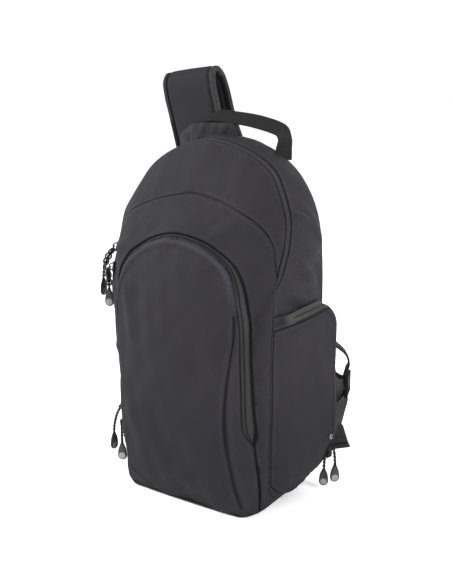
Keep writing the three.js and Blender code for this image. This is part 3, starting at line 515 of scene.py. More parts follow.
def grid_faces(rows, columns, start=0, flip=False, ring=False):
    i, j = np.meshgrid(np.arange(rows - 1), np.arange(columns if ring else columns - 1), indexing="ij")
    nj = (j + 1) % columns
    quad = [i * columns + j, (i + 1) * columns + j, (i + 1) * columns + nj, i * columns + nj]
    faces = np.stack([q.ravel() for q in quad], -1) + start
    return faces[:, ::-1] if flip else faces


def grid_uv(grid):
    return np.stack([lengths(grid, 0), lengths(grid, 1)], -1).reshape(-1, 2)


def sheet_piece(name, outer, inner, near=None):
    """Closed sheet of cloth between two grids of points; near, read as a distance to a sewn line, sets its
    painted shade and highlight.
    """
    rows, columns = outer.shape[:2]
    count = rows * columns
    normal = np.cross(outer[1, 0] - outer[0, 0], outer[0, 1] - outer[0, 0])
    flip = float(normal @ (outer[0, 0] - inner[0, 0])) < 0
    rim = [(i, 0) for i in range(rows - 1)] + [(rows - 1, j) for j in range(columns - 1)]
    rim += [(i, columns - 1) for i in range(rows - 1, 0, -1)] + [(0, j) for j in range(columns - 1, 0, -1)]
    loop = np.array([i * columns + j for i, j in rim])
    ahead = np.roll(loop, -1)
    sides = np.stack([loop, loop + count, ahead + count, ahead], -1)
    faces = np.vstack([
        grid_faces(rows, columns, 0, flip),
        grid_faces(rows, columns, count, not flip),
        sides[:, ::-1] if flip else sides,
    ])
    points = np.vstack([outer.reshape(-1, 3), inner.reshape(-1, 3)])
    if near is None:
        near = np.minimum(edge_distance(outer, ALL_EDGES), SEAM_REACH)
    return make_mesh(name, points, faces, np.tile(grid_uv(outer), (2, 1)), np.tile(near.ravel(), 2))


def ring_piece(name, rings, near=None):
    """Body through closed rings of points, with a cap at each end; near, read as a distance to a sewn line,
    sets its painted shade and highlight.
    """
    rings = np.asarray(rings)
    rows, columns = rings.shape[:2]
    faces = grid_faces(rows, columns, 0, ring=True).tolist()
    faces.append(list(range(columns)))
    faces.append(list(range(rows * columns - 1, (rows - 1) * columns - 1, -1)))
    return make_mesh(name, rings.reshape(-1, 3), faces, grid_uv(rings), near)


# Materials

def new_material(name, colour, roughness, metallic=0.0, specular=0.5):
    material = bpy.data.materials.new(name)
    material.use_nodes = True
    shader = material.node_tree.nodes["Principled BSDF"]
    shader.inputs["Base Color"].default_value = (*colour, 1)
    shader.inputs["Roughness"].default_value = roughness
    shader.inputs["Metallic"].default_value = metallic
    shader.inputs["Specular IOR Level"].default_value = specular
    return material, material.node_tree, shader


def noise(tree, coordinates, scale, detail=3.0):
    node = tree.nodes.new("ShaderNodeTexNoise")
    node.inputs["Scale"].default_value = scale
    node.inputs["Detail"].default_value = detail
    tree.links.new(coordinates, node.inputs["Vector"])
    return node.outputs["Fac"]


def wave(tree, coordinates, period, direction):
    """Sine bands with a period in metres."""
    node = tree.nodes.new("ShaderNodeTexWave")
    node.wave_type = "BANDS"
    node.bands_direction = direction
    node.inputs["Scale"].default_value = 2 * math.pi / 20 / period
    tree.links.new(coordinates, node.inputs["Vector"])
    return node.outputs["Fac"]


def combine(tree, operation, a, b):
    node = tree.nodes.new("ShaderNodeMath")
    node.operation = operation
    for socket, value in zip(node.inputs, (a, b)):
        if isinstance(value, (int, float)):
            socket.default_value = value
        else:
            tree.links.new(value, socket)
    return node.outputs["Value"]


def ramp(tree, factor, stops):
    """Colour ramp through (place, colour) stops."""
    node = tree.nodes.new("ShaderNodeValToRGB")
    while len(node.color_ramp.elements) < len(stops):
        node.color_ramp.elements.new(0.5)
    for element, (place, colour) in zip(node.color_ramp.elements, stops):
        element.position = place
        element.color = (*colour, 1)
    tree.links.new(factor, node.inputs["Fac"])
    return node.outputs["Color"]


def multiplied(tree, colour, by):
    node = tree.nodes.new("ShaderNodeMix")
    node.data_type = "RGBA"
    node.blend_type = "MULTIPLY"
    node.inputs["Factor"].default_value = 1
    tree.links.new(colour, node.inputs["A"])
    tree.links.new(by, node.inputs["B"])
    return node.outputs["Result"]


def grey_ramp(tree, factor, stops):
    """Colour ramp through (place, grey) stops."""
    return ramp(tree, factor, [(place, (grey, grey, grey)) for place, grey in stops])


def shade_ramp(tree, factor, colour, stops):
    """Colour ramp through (place, multiple of one colour) stops."""
    return ramp(tree, factor, [(place, tuple(by * c for c in colour)) for place, by in stops])


def texture_space(tree, kind):
    return tree.nodes.new("ShaderNodeTexCoord").outputs[kind]


def seam_shade(tree):
    """Painted shade in the crease at a sewn line, a painted highlight on the lip beside it, plain cloth at
    the seam's reach, a painted highlight past it.
    """
    edge = tree.nodes.new("ShaderNodeAttribute")
    edge.attribute_name = "edge"
    stops = [
        (0.0, 0.16), (0.025, 0.2), (0.055, 0.8), (0.1, 1.0),
        (0.17, 0.95), (0.3, 0.82), (0.5, 0.82), (1.0, 1.8),
    ]
    return grey_ramp(tree, edge.outputs["Fac"], stops)


def bump(tree, height, distance, strength, shader):
    node = tree.nodes.new("ShaderNodeBump")
    node.inputs["Distance"].default_value = distance
    node.inputs["Strength"].default_value = strength
    tree.links.new(height, node.inputs["Height"])
    tree.links.new(node.outputs["Normal"], shader.inputs["Normal"])


def spread(tree, factor, low, high):
    node = tree.nodes.new("ShaderNodeMapRange")
    node.inputs["To Min"].default_value = low
    node.inputs["To Max"].default_value = high
    tree.links.new(factor, node.inputs["Value"])
    return node.outputs["Result"]


def low_shade(tree, place):
    """Painted shade: cloth that is darker towards the base."""
    split = tree.nodes.new("ShaderNodeSeparateXYZ")
    tree.links.new(place, split.inputs["Vector"])
    return grey_ramp(tree, split.outputs["Z"], [(0.03, 0.76), (0.10, 0.82), (0.17, 1.0)])


def woven(name, colour, thread, roughness, depth):
    """Plain weave: crossing threads, slubs, slow changes of tone, painted shade and highlight along sewn
    edges, and painted shade towards the base.
    """
    material, tree, shader = new_material(name, colour, roughness, specular=0.12)
    uv = texture_space(tree, "UV")
    place = texture_space(tree, "Object")
    warp, weft = wave(tree, uv, thread, "X"), wave(tree, uv, thread, "Y")
    cloth = combine(tree, "MULTIPLY", warp, weft)
    slub = noise(tree, uv, 0.35 / thread, 2.0)
    slow = noise(tree, place, 14.0, 4.0)
    shade = combine(tree, "ADD", combine(tree, "MULTIPLY", slub, 0.5), combine(tree, "MULTIPLY", slow, 0.5))
    base = shade_ramp(tree, shade, colour, [(0.3, 0.98), (0.5, 1.22), (0.72, 1.48)])
    shaded = multiplied(tree, multiplied(tree, base, seam_shade(tree)), low_shade(tree, place))
    tree.links.new(shaded, shader.inputs["Base Color"])
    tree.links.new(spread(tree, slow, roughness - 0.07, roughness + 0.07), shader.inputs["Roughness"])
    height = combine(tree, "ADD", cloth, combine(tree, "MULTIPLY", slub, 0.6))
    bump(tree, height, depth * MM, 0.6, shader)
    return material


def ribbed(name, colour, rib, roughness):
    """Narrow webbing: ribs across it, each made of small slanting threads."""
    material, tree, shader = new_material(name, colour, roughness, specular=0.14)
    uv = texture_space(tree, "UV")
    ribs, threads = wave(tree, uv, rib, "X"), wave(tree, uv, 0.45 * rib, "DIAGONAL")
    height = combine(tree, "ADD", ribs, combine(tree, "MULTIPLY", threads, 0.6))
    slub = noise(tree, uv, 900.0, 3.0)
    # The colour follows the ribs' height: painted shade in the grooves and painted highlight on the tops,
    # with slubs changing the tone
    shade = combine(tree, "MULTIPLY", combine(tree, "ADD", height, slub), 0.5)
    base = shade_ramp(tree, shade, colour, [(0.25, 0.6), (0.6, 1), (1.0, 1.5)])
    tree.links.new(base, shader.inputs["Base Color"])
    tree.links.new(spread(tree, slub, roughness - 0.1, roughness + 0.1), shader.inputs["Roughness"])
    bump(tree, height, 0.25 * MM, 0.8, shader)
    return material


def moulded(name, colour, roughness, grain, metallic=0.0, specular=0.5):
    """Moulded or painted surface with a fine grain and small changes of gloss."""
    material, tree, shader = new_material(name, colour, roughness, metallic, specular)
    place = texture_space(tree, "Object")
    fine, slow = noise(tree, place, grain, 2.0), noise(tree, place, 0.06 * grain, 3.0)
    base = shade_ramp(tree, slow, colour, [(0.3, 0.8), (0.55, 1), (0.75, 1.35)])
    tree.links.new(base, shader.inputs["Base Color"])
    tree.links.new(spread(tree, slow, roughness - 0.1, roughness + 0.1), shader.inputs["Roughness"])
    bump(tree, fine, 0.05 * MM, 0.35, shader)
    return material


NYLON = woven("nylon", (0.0128, 0.0119, 0.0150), 0.0007, 0.75, 0.10)
# Side band cloth and its zip tape, paler than the nylon: partly their own tone, partly painted light where
# the band faces up
BAND_CLOTH = woven("side_band", (0.0230, 0.0231, 0.0222), 0.0009, 0.6, 0.10)
SIDE_TAPE = woven("side_tape", (0.0290, 0.0290, 0.0280), 0.0008, 0.6, 0.12)
BACK_MESH = woven("back_mesh", (0.0125, 0.0125, 0.0138), 0.0030, 0.85, 0.5)
BINDING = woven("binding", (0.0165, 0.0162, 0.0165), 0.0010, 0.7, 0.15)
TAPE_CLOTH = woven("zip_tape", (0.0172, 0.0169, 0.0177), 0.0008, 0.7, 0.12)
MAIN_TAPE = woven("main_tape", (0.0190, 0.0180, 0.0215), 0.0008, 0.7, 0.12)
# Pale cloth of the strap's end cover: painted light where the lamps hardly reach it
STRAP_END = woven("strap_end", (0.3000, 0.3000, 0.3000), 0.0011, 0.7, 0.2)
WEBBING = ribbed("webbing", (0.0033, 0.0034, 0.0031), 0.0018, 0.7)
ADJUSTER_WEB = ribbed("adjuster_web", (0.0110, 0.0110, 0.0108), 0.0018, 0.7)
# Darker copy of the adjuster's webbing for its loop through the lock, as painted shade
SHADED_LOOP_WEB = ribbed("loop_web_shaded", (0.0048, 0.0048, 0.0048), 0.0018, 0.7)
CORD_CLOTH = ribbed("pull_cord", (0.008, 0.008, 0.0085), 0.0009, 0.7)
LOCK_PLASTIC = moulded("lock_plastic", (0.005, 0.005, 0.0054), 0.6, 1200.0, specular=0.05)
SLIDER_METAL = moulded("slider_metal", (0.026, 0.026, 0.028), 0.38, 900.0, 0.5, 0.35)
BRIGHT_METAL = moulded("bright_metal", (0.30, 0.30, 0.31), 0.4, 900.0, 0.8)
GUARD_CLOTH = woven("zip_guard", (0.0062, 0.0060, 0.0066), 0.0009, 0.75, 0.12)
PULL_RUBBER = moulded("pull_rubber", (0.009, 0.009, 0.0095), 0.5, 1600.0, specular=0.2)
PULL_FACE = ribbed("pull_face", (0.050, 0.050, 0.050), 0.0012, 0.6)
PULL_INLAY = moulded("pull_inlay", (0.20, 0.20, 0.21), 0.4, 1600.0, 0.4)


# Cloth panels

def cloth_panel(name, grid, turned, radius, swell, material, nodes, thickness=WALL, near=None):
    """Panel with its sewn edges turned in and its folds raised; swell is in millimetres at each point."""
    away = grid_normals(grid, -inward(grid))
    drop = turned_in(edge_distance(grid, turned), radius)
    outer = grid + away * (swell - drop)[..., None]
    inner = outer - grid_normals(outer, -inward(grid)) * thickness
    return dress(sheet_piece(name, outer, inner, near), material, "nylon", *nodes)


def main_slot(t):
    """How far the main zip's slot reaches from the corner seam towards the front and towards the back."""
    z = corner_seam.at(t)[..., 2:]
    right = np.asarray(t)[..., None] > 0.5
    opened = np.where(right, ease(z, *MAIN_ZIP_FOOT_RIGHT), ease(z, *MAIN_ZIP_FOOT_LEFT))
    return GAP + MAIN_ZIP_FRONT * opened, GAP + MAIN_ZIP_BACK * opened


front_zip_reach = smooth_column(*zip(*FRONT_ZIP_REACH))


def front_slot(t):
    """Reach of the front zip's slot towards the pocket and towards the corner, and the coil's shift."""
    z = front_zip.at(t)[..., 2:]
    right = np.asarray(t)[..., None] > 0.5
    opened = np.where(right, ease(z, *FRONT_ZIP_FOOT_RIGHT), ease(z, *FRONT_ZIP_FOOT_LEFT))
    side = 1 - ease(z, *FRONT_ZIP_TURN)
    closed = FRONT_FOOT_SHIFT * (1 - opened)
    inner = GAP + mix(FRONT_ZIP_TOP, ZIP_HALF, side) * opened - closed
    outer = GAP + front_zip_reach(z) * opened + closed
    return inner, outer, FRONT_ZIP_SHIFT * side * opened + closed


def pucker(p, distance, along, reach, pitch, height):
    """Small gathers that stand square to a seam and fade away from it."""
    beat = np.sin(along * 2 * math.pi / pitch + 2.4 * np.sin(along / (1.9 * pitch)))
    patchy = np.clip(0.55 + 0.6 * ripple(p, 45, 5), 0, 1.4)
    return height * beat * np.exp(-distance / (reach * (0.7 + 0.4 * patchy))) * patchy


def fold(p, start, end, width, height):
    """One soft ridge from start to end, or a valley where the height is below zero."""
    start, end = np.array(start, float), np.array(end, float)
    run = end - start
    share = ((p - start) @ run) / (run @ run)
    off = np.linalg.norm(p - start - np.clip(share, 0, 1)[..., None] * run, axis=-1)
    window = np.clip(np.sin(math.pi * np.clip(share * 0.8 + 0.1, 0, 1)), 0, 1)
    return height * hump(off, 0, width) * window


def folds(p, rows):
    return sum(fold(p, row[0:3], row[3:6], row[6], row[7]) for row in rows)


def gathered(grid, swell, first, last, reach, first_share=1):
    """Swell with gathers along the first and the last column, fading to nothing at both."""
    near, far = from_long_edges(grid)
    along = lengths(grid, 0)
    swell = swell + pucker(grid, near, along, *first) * first_share + pucker(grid, far, along, *last)
    return swell * ease(np.minimum(near, far), 0, reach)


# Folds on the gusset: start x y z, end x y z, width, height
GUSSET_FOLDS = [
    (117, -14, 350, 114, 24, 330, 4, 2.2), (118, -8, 336, 116, 34, 316, 4, -1.6),
    (119, -22, 322, 117, 30, 300, 5, 1.8), (119, -25, 305, 119, 30, 267, 6, 2.0),
    (118, -40, 267, 118, 20, 245, 4, 1.8), (117, -44, 255, 117, 10, 237, 3.5, -1.8),
    (119, 10, 355, 117, 50, 305, 7, 1.6), (118, -30, 285, 120, 8, 272, 3.5, -1.5),
    (116, 20, 290, 117, 52, 250, 7, -1.6), (-112, 10, 300, -114, 52, 240, 8, 1.6),
    (-117, -20, 350, -112, 40, 330, 6, 1.8), (-119, -22, 327, -117, 30, 305, 6, -1.6),
    (-119, -25, 305, -119, 30, 267, 7, 1.9), (-112, -40, 185, -114, 40, 155, 9, 1.7),
    (-110, -35, 115, -112, 40, 95, 8, -1.5), (-104, -30, 58, -106, 40, 43, 7, 1.5),
]


def gusset_grid(t, v):
    front = corner_seam.at(t) + to_back(t) * main_slot(t)[1]
    back = back_seam.at(t) + across(back_seam, corner_seam, t) * GAP
    return bulged(front[:, None], back[:, None], v[None, :, None], SIDE_BULGE)


def add_gusset():
    grid = gusset_grid(np.linspace(0, 1, 560), close_to_ends(34))
    x, y, z = np.moveaxis(grid, -1, 0)
    swell = ripples(grid, GUSSET_RIPPLES) + GUSSET_FOLD_GAIN * folds(grid, GUSSET_FOLDS)
    high = ease(z, *GUSSET_GATHER_FROM)
    swell = gathered(grid, swell, GUSSET_FRONT_GATHER, GUSSET_BACK_GATHER, 8, high)
    beside_pocket = ease(z, *UNDER_POCKET_LOW) * (1 - ease(z, *UNDER_POCKET_HIGH))
    under_pocket = beside_pocket * ease(x, *UNDER_POCKET_X) * (1 - ease(y, *UNDER_POCKET_Y))
    swell = swell * (1 - under_pocket)
    cloth_panel("gusset_cloth", grid, LONG_EDGES, GUSSET_TURN, swell, NYLON, ["main_gusset"])


def beside_corner(z, distance):
    t = 1 - left_share(corner_seam, z)
    return corner_seam.at(t) + to_front(t) * distance


shell_edge = arch([*(beside_corner(z, distance) for z, distance in SHELL_EDGE), *CROWN_SEAM])

# Folds on the front shell: start x y z, end x y z, width, height
SHELL_FOLDS = [
    (96, -64, 240, 110, -53, 228, 3.5, 1.6), (96, -63, 222, 110, -53, 214, 3, -1.2),
    (95, -63, 200, 108, -52, 190, 3.5, 1.7), (95, -62, 178, 107, -51, 166, 3.5, 1.9),
    (95, -61, 160, 107, -50, 150, 3, -1.4), (96, -60, 145, 106, -49, 136, 3.5, 1.8),
    (96, -58, 105, 104, -46, 90, 4, 1.7), (96, -56, 66, 102, -42, 54, 4, 1.7),
    (84, -66, 305, 104, -50, 292, 6, 1.4), (40, -66, 323, 70, -60, 335, 8, 1.1),
    (-40, -66, 325, -62, -60, 338, 8, 1.1), (-84, -66, 303, -104, -52, 288, 6, 1.4),
    (-96, -62, 180, -107, -51, 168, 5, 1.5), (-96, -58, 110, -104, -46, 98, 5, 1.5),
]


def add_front_shell():
    t, v = np.linspace(0, 1, 520), close_to_ends(24)
    inner = front_zip.at(t) + to_corner(t) * front_slot(t)[1]
    grid = bulged(inner[:, None], shell_edge.at(t)[:, None], v[None, :, None], SHELL_BULGE)
    swell = ripples(grid, SHELL_RIPPLES) + SHELL_FOLD_GAIN * folds(grid, SHELL_FOLDS)
    swell = gathered(grid, swell, SHELL_ZIP_GATHER, SHELL_SEAM_GATHER, 6)
    near, far = from_long_edges(grid)
    # Painted shade in a line along the shell's zip side and along its seam
    sewn = np.clip(np.minimum(near - 0.6 * LINE_WIDTH, far), 0, SEAM_REACH)
    cloth_panel("front_shell_cloth", grid, LONG_EDGES, PANEL_TURN, swell, NYLON, ["front_shell"], near=sewn)


def add_crown():
    foot, low_foot = left_share(corner_seam, CROWN_TIP), left_share(shell_edge, CROWN_TIP)
    t, v = np.linspace(foot, 1 - foot, 340), close_to_ends(28)
    share = (t - foot) / (1 - 2 * foot)
    upper = corner_seam.at(t) + to_front(t) * (MAIN_ZIP_FRONT + GAP)
    lower = shell_edge.at(mix(low_foot, 1 - low_foot, share))
    lower = lower + unit(upper - lower) * GAP
    bulge = CROWN_BULGE * np.sin(math.pi * share)[:, None, None]
    grid = bulged(lower[:, None], upper[:, None], v[None, :, None], bulge)
    swell = gathered(grid, ripples(grid, CROWN_RIPPLES), CROWN_SEAM_GATHER, CROWN_ZIP_GATHER, 6)
    cloth_panel("crown_cloth", grid, LONG_EDGES, PANEL_TURN, swell, NYLON, ["crown_panel"])


POCKET_Z, POCKET_MIDDLE, POCKET_CREASE_X, POCKET_CREASE_Y = zip(*POCKET_ROWS)
pocket_middle = smooth_column(POCKET_Z, POCKET_MIDDLE)
pocket_crease_x = smooth_column(POCKET_Z, POCKET_CREASE_X)
pocket_crease_y = smooth_column(POCKET_Z, POCKET_CREASE_Y)

# Folds on the front pocket: start x y z, end x y z, width, height
POCKET_FOLDS = [
    (-78, -70, 32, -58, -86, 12, 5, 2.2), (-62, -86, 30, -44, -84, 10, 5, -1.8),
    (-50, -88, 34, -30, -84, 10, 6, 1.8), (-8, -88, 30, 10, -82, 10, 8, 1.2),
    (56, -86, 30, 74, -74, 12, 5, 1.9), (-24, -96, 120, 18, -96, 50, 20, -2.0),
    (48, -94, 220, 70, -86, 150, 9, 1.8), (28, -96, 235, 44, -95, 150, 9, -1.4),
    (-70, -84, 265, -54, -92, 200, 7, 1.8), (-50, -90, 270, -38, -95, 200, 7, -1.3),
    (-30, -92, 285, -24, -96, 215, 8, 1.3), (0, -94, 290, 4, -97, 225, 8, -1.2),
    (-86, -76, 140, -76, -86, 95, 6, 1.6), (-60, -92, 150, -48, -94, 70, 10, 1.4),
]


def mirrored(right):
    """Whole row from its right half, whose first column is the middle."""
    return np.concatenate([(right * (-1, 1, 1))[:, :0:-1], right], 1)


def pocket_rim(t):
    return front_zip.at(t) - to_corner(t) * front_slot(t)[0]


POCKET_RIM = pocket_rim(np.linspace(1, 0.5, 3000))


def pocket_crease(z):
    """Rim and side crease of the pocket at a height: x and y of each, and how far the crease is sewn."""
    rim_x, rim_y = (np.interp(z, POCKET_RIM[:, 2], POCKET_RIM[:, k]) for k in (0, 1))
    rolled = ease(z, POCKET_ROLL_LOW, POCKET_ROLL_HIGH)
    crease_x = np.minimum(pocket_crease_x(z), CREASE_REACH * rim_x)
    crease_y = mix(pocket_crease_y(z), rim_y - POCKET_ROLL, rolled)
    return rim_x, rim_y, crease_x, crease_y, 1 - rolled


def pocket_depth(x, z):
    """y of the front pocket's cloth at a place seen from the front."""
    rim_x, rim_y, crease_x, crease_y, _ = pocket_crease(z)
    aside = np.abs(x)
    face = mix(pocket_middle(z), crease_y, np.clip(aside / crease_x, 0, 1) ** POCKET_ROUND)
    past = np.clip((aside - crease_x) / np.maximum(rim_x - crease_x, 0.01), 0, 1)
    return np.where(aside < crease_x, face, mix(crease_y, rim_y, past))


def fan_piece(name, outer, inner, near):
    """Closed sheet whose rows run from its rim to a spine, where the left and right rows meet."""
    rows, columns = outer.shape[:2]
    index = np.arange(rows * columns).reshape(rows, columns)
    index[:, -1] = index[np.minimum(np.arange(rows), rows - 1 - np.arange(rows)), -1]
    cells = np.stack([index[:-1, :-1], index[1:, :-1], index[1:, 1:], index[:-1, 1:]], -1).reshape(-1, 4)
    loop = np.concatenate([index[:, 0], index[-1, 1:], index[0, -2:0:-1]])
    ahead = np.roll(loop, -1)
    count = rows * columns
    sides = np.stack([loop, ahead, ahead + count, loop + count], -1)
    faces = np.vstack([cells[:, ::-1], cells + count, sides])
    faces = [list(dict.fromkeys(face)) for face in faces.tolist()]
    points = np.vstack([outer.reshape(-1, 3), inner.reshape(-1, 3)])
    flat = points[:, [0, 2]]
    return make_mesh(name, points, [face for face in faces if len(face) > 2], flat, np.tile(near.ravel(), 2))


def fan_normals(grid, outward):
    wider = np.concatenate([grid, grid[::-1, -2:-1]], 1)
    return grid_normals(wider, np.concatenate([outward, outward[:, -1:]], 1))[:, :-1]


def add_front_pocket():
    t, v = np.linspace(0, 1, 401), np.linspace(0, 1, 72) ** 1.6
    rim = pocket_rim(t)
    spine = mix(SEAM_FOOT, POCKET_SPINE, (rim[:, 2] - SEAM_FOOT) / (rim[:, 2].max() - SEAM_FOOT))
    x = mix(rim[:, :1], 0, v[None])
    z = mix(rim[:, 2:], spine[:, None], v[None])
    grid = np.stack([x, pocket_depth(x, z), z], -1)
    from_rim = lengths(grid, 1)
    along = np.broadcast_to(lengths(grid, 0)[:, :1], x.shape)
    _, _, crease_x, _, sewn = pocket_crease(z)
    from_crease = np.abs(x) - crease_x
    sewn = sewn * ease(z, 8, 24)

    groove = -1.5 * hump(from_crease, 0, 1.2)
    lip = 1.1 * hump(from_crease, 3.0, 2.0) + 0.5 * hump(from_crease, -3.0, 2.5)
    roll = 2.2 * ease(z, *POCKET_RIM_FROM) * hump(from_rim, 5.0, 3.6)
    gathers = pucker(grid, from_rim, along, *POCKET_GATHER) * ease(z, *POCKET_GATHER_FROM)
    gathers = gathers * ease(from_rim, 3, 10)
    swell = ripples(grid, POCKET_RIPPLES) + folds(grid, POCKET_FOLDS) + gathers
    swell = swell * ease(from_rim, 0, 9) + roll + (groove + lip) * sewn
    drop = turned_in(from_rim, POCKET_TURN)
    outer = grid + fan_normals(grid, -inward(grid)) * (swell - drop)[..., None]
    inner = outer - fan_normals(outer, -inward(grid)) * WALL
    # Painted shade in the side creases and in a line along the rim, and a painted highlight along the top
    # just below the zip
    crease_line = np.where(sewn > 0.4, np.abs(from_crease) - 0.2, SEAM_REACH)
    at_foot = ease(x, *FOOT_FADE_X) * ease(z, *FOOT_FADE_LOW) * (1 - ease(z, *FOOT_FADE_HIGH))
    near = np.clip(np.minimum(from_rim - 0.5 * LINE_WIDTH + 1.4 * at_foot, crease_line), 0, SEAM_REACH)
    top_highlight = 0.85 * hump(from_rim, 4.4, 3.0) * ease(z, *POCKET_HIGHLIGHT_FROM)
    near = np.where(top_highlight > 0.03, SEAM_REACH * (1 + top_highlight), near)
    dress(fan_piece("front_pocket_cloth", outer, inner, near), NYLON, "nylon", "front_pocket")


def add_back():
    t = 0.5 + 0.5 * np.linspace(0.02, 1, 150)
    edge = back_seam.at(t)[:, None]
    share = 1 - (1 - np.linspace(0, 1, 40)) ** 1.5
    crown = BACK_CROWN * (1 - share[None] ** 2) * ease(edge[..., 0], 0, BACK_CROWN_X)
    right = np.stack([
        edge[..., 0] * share[None],
        edge[..., 1] + crown,
        np.broadcast_to(edge[..., 2], crown.shape),
    ], -1)
    grid = mirrored(right)
    rim = edge_distance(grid, ALL_EDGES)
    channel = -2.2 * hump(np.abs(grid[..., 0]), BACK_CHANNEL_X, 3.0) * ease(rim, BACK_BORDER, 40)
    border = -1.6 * hump(rim, BACK_BORDER, 2.2)
    pad = 1.2 * ease(rim, 14, 34)
    swell = 0.4 * ripple(grid, 80, 51) + channel + border + pad
    piece = cloth_panel("back_pad", grid, ALL_EDGES, BACK_TURN, swell, BACK_MESH, ["back_panel"], BACK_PAD)


def add_base():
    right = np.array(BASE_OUTLINE, float)
    outline = np.vstack([right, (right * (-1, 1))[-2:0:-1], right[:1]])
    flat = Curve(np.column_stack([outline, 0 * outline[:, 0]])).at(np.linspace(0, 1, 240, endpoint=False))
    rings = []
    for inset, z in BASE_RINGS:
        ring = flat * (1 - inset / np.linalg.norm(flat, axis=1, keepdims=True))
        rings.append(ring + (0, 0, z))
    dress(ring_piece("base_cloth", rings), NYLON, "nylon", "base_panel")


# Zips

def zip_strip(name, middle, low, high, out, lap, lines, cloth, node):
    """Zip tape along a line, with two rows of coil.

    lines holds how wide a line of painted shade is drawn at the cloth's lap, how far from the middle
    another one runs beside the coil, and how faint that one is.
    """
    lap_line, coil_line, faint = lines
    run = run_along(middle)
    coil_shares = np.array([0.02, 0.25, 0.5, 0.75, 1, 1.15, 1.45])
    sides, hems = [], []
    for edge in (low, high):
        reach = np.linalg.norm(edge - middle, axis=1, keepdims=True)
        hem = reach - lap
        columns = np.concatenate([COIL_HALF * coil_shares + 0 * reach, hem - 1.3, hem - 0.5, hem, reach], 1)
        sides.append(np.maximum.accumulate(columns, axis=1) + 0.01 * np.arange(columns.shape[1]))
        hems.append(hem)
    aside = np.concatenate([-sides[0][:, ::-1], sides[1]], 1)
    left = aside < 0
    ways = np.where(left[..., None], unit(low - middle)[:, None], unit(high - middle)[:, None])
    tooth = np.sin(2 * math.pi * run[:, None] / COIL_PITCH + np.where(left, 0, math.pi))
    inside = np.clip(1 - (np.abs(aside) / COIL_HALF) ** 2, 0, 1)
    coil = COIL_HIGH * np.sqrt(inside) * (0.6 + 0.4 * tooth) - 0.5 * hump(aside, 0, 0.2)
    flat = middle[:, None] + np.abs(aside)[..., None] * ways
    outer, inner = flat + out[:, None] * coil[..., None], flat - out[:, None] * TAPE
    # Painted shade in lines at the cloth's lap and beside the coil
    beside_coil = np.abs(np.abs(aside) - coil_line) + faint
    beside_hem = np.maximum(np.abs(np.abs(aside) - np.where(left, hems[0], hems[1])) - lap_line, 0)
    near = np.minimum(beside_coil, beside_hem)
    dress(sheet_piece(name, outer, inner, near), cloth, "zip_tape", node)


def add_main_zip():
    start = left_share(corner_seam, MAIN_ZIP_FOOT_LEFT[0] - 2)
    end = 1 - left_share(corner_seam, MAIN_ZIP_FOOT_RIGHT[0] - 2)
    t = np.linspace(start, end, 1500)
    line, along = corner_seam.at(t), corner_seam.along(t)
    out = unit(-inward(line) + along * dot(inward(line), along))
    middle = line - out * TAPE_SET
    low = middle + to_front(t) * (MAIN_ZIP_FRONT + TAPE_LAP)
    high = middle + to_back(t) * (MAIN_ZIP_BACK + TAPE_LAP)
    zip_strip("main_zip", middle, low, high, out, TAPE_LAP, (0, COIL_SIDE, 0.5), MAIN_TAPE, "main_zip_tape")


def add_front_zip():
    start = left_share(front_zip, FRONT_ZIP_FOOT_LEFT[0])
    end = 1 - left_share(front_zip, FRONT_ZIP_FOOT_RIGHT[0])
    t = np.linspace(start, end, 1400)
    line, along = front_zip.at(t), front_zip.along(t)
    out = unit(-inward(line) + along * dot(inward(line), along))
    inner, outer, shift = front_slot(t)
    base = line - out * TAPE_SET
    low, high = base - to_corner(t) * (inner + TAPE_LAP), base + to_corner(t) * (outer + TAPE_LAP)
    middle = base + to_corner(t) * shift
    zip_strip("front_zip", middle, low, high, out, TAPE_LAP, (0.3, 0, 0.4), TAPE_CLOTH, "front_zip_tape")


# Side pocket

gusset_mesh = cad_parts["main_gusset"].data
gusset_tree = BVHTree.FromPolygons(
    [v.co for v in gusset_mesh.vertices], [tuple(p.vertices) for p in gusset_mesh.polygons])
corner_y = smooth_column([z for _, _, z in CORNER_SEAM[:7]], [y for _, y, _ in CORNER_SEAM[:7]])


def side_x(y, z):
    """Place of the body's right side at a depth and a height."""
    flat = np.stack([np.ravel(y), np.ravel(z)], -1) * MM
    found = [gusset_tree.ray_cast(Vector((1, a, b)), Vector((-1, 0, 0)))[0].x for a, b in flat]
    return np.array(found).reshape(np.shape(y)) / MM


def side_back_y(z):
    past = np.clip(z - (SIDE_HIGH - SIDE_CORNER_TOP), 0, SIDE_CORNER_TOP) / SIDE_CORNER_TOP
    short = np.clip(SIDE_LOW + SIDE_CORNER_BOTTOM - z, 0, SIDE_CORNER_BOTTOM) / SIDE_CORNER_BOTTOM
    inset = SIDE_CORNER_TOP * (1 - np.sqrt(1 - past ** 2))
    return SIDE_BACK - inset - SIDE_CORNER_BOTTOM * (1 - np.sqrt(1 - short ** 2))


def side_pocket(u, v):
    """Point of the side pocket's face: u from its front seam to its back edge, v from low to high."""
    u, v = np.broadcast_arrays(np.asarray(u, float), np.asarray(v, float))
    level = mix(SIDE_LOW, SIDE_HIGH, v)
    front = corner_y(level) + SIDE_SEAM_INSET
    y = mix(front, side_back_y(level), u)
    backward = (y - front) / (SIDE_BACK - front)
    sag = SIDE_SAG * (1 - v) + SIDE_HANG * (1 - v) ** 4
    z = level + SIDE_RISE * u * v - sag * np.sin(math.pi * u)
    full = ease(level, SIDE_FULL_LOW, SIDE_FULL_PEAK) * (1 - ease(level, SIDE_FULL_PEAK, SIDE_FULL_HIGH))
    lift = (SIDE_DEPTH * mix(SIDE_SLACK, 1, np.sin(math.pi * v)) + SIDE_FULL * full) * backward
    clear = mix(SIDE_SEAM_CLEAR, WALL + FOLD_GAP, ease(u, 0, 0.3))
    return np.stack([side_x(y, z) + clear + lift, y, z], -1)


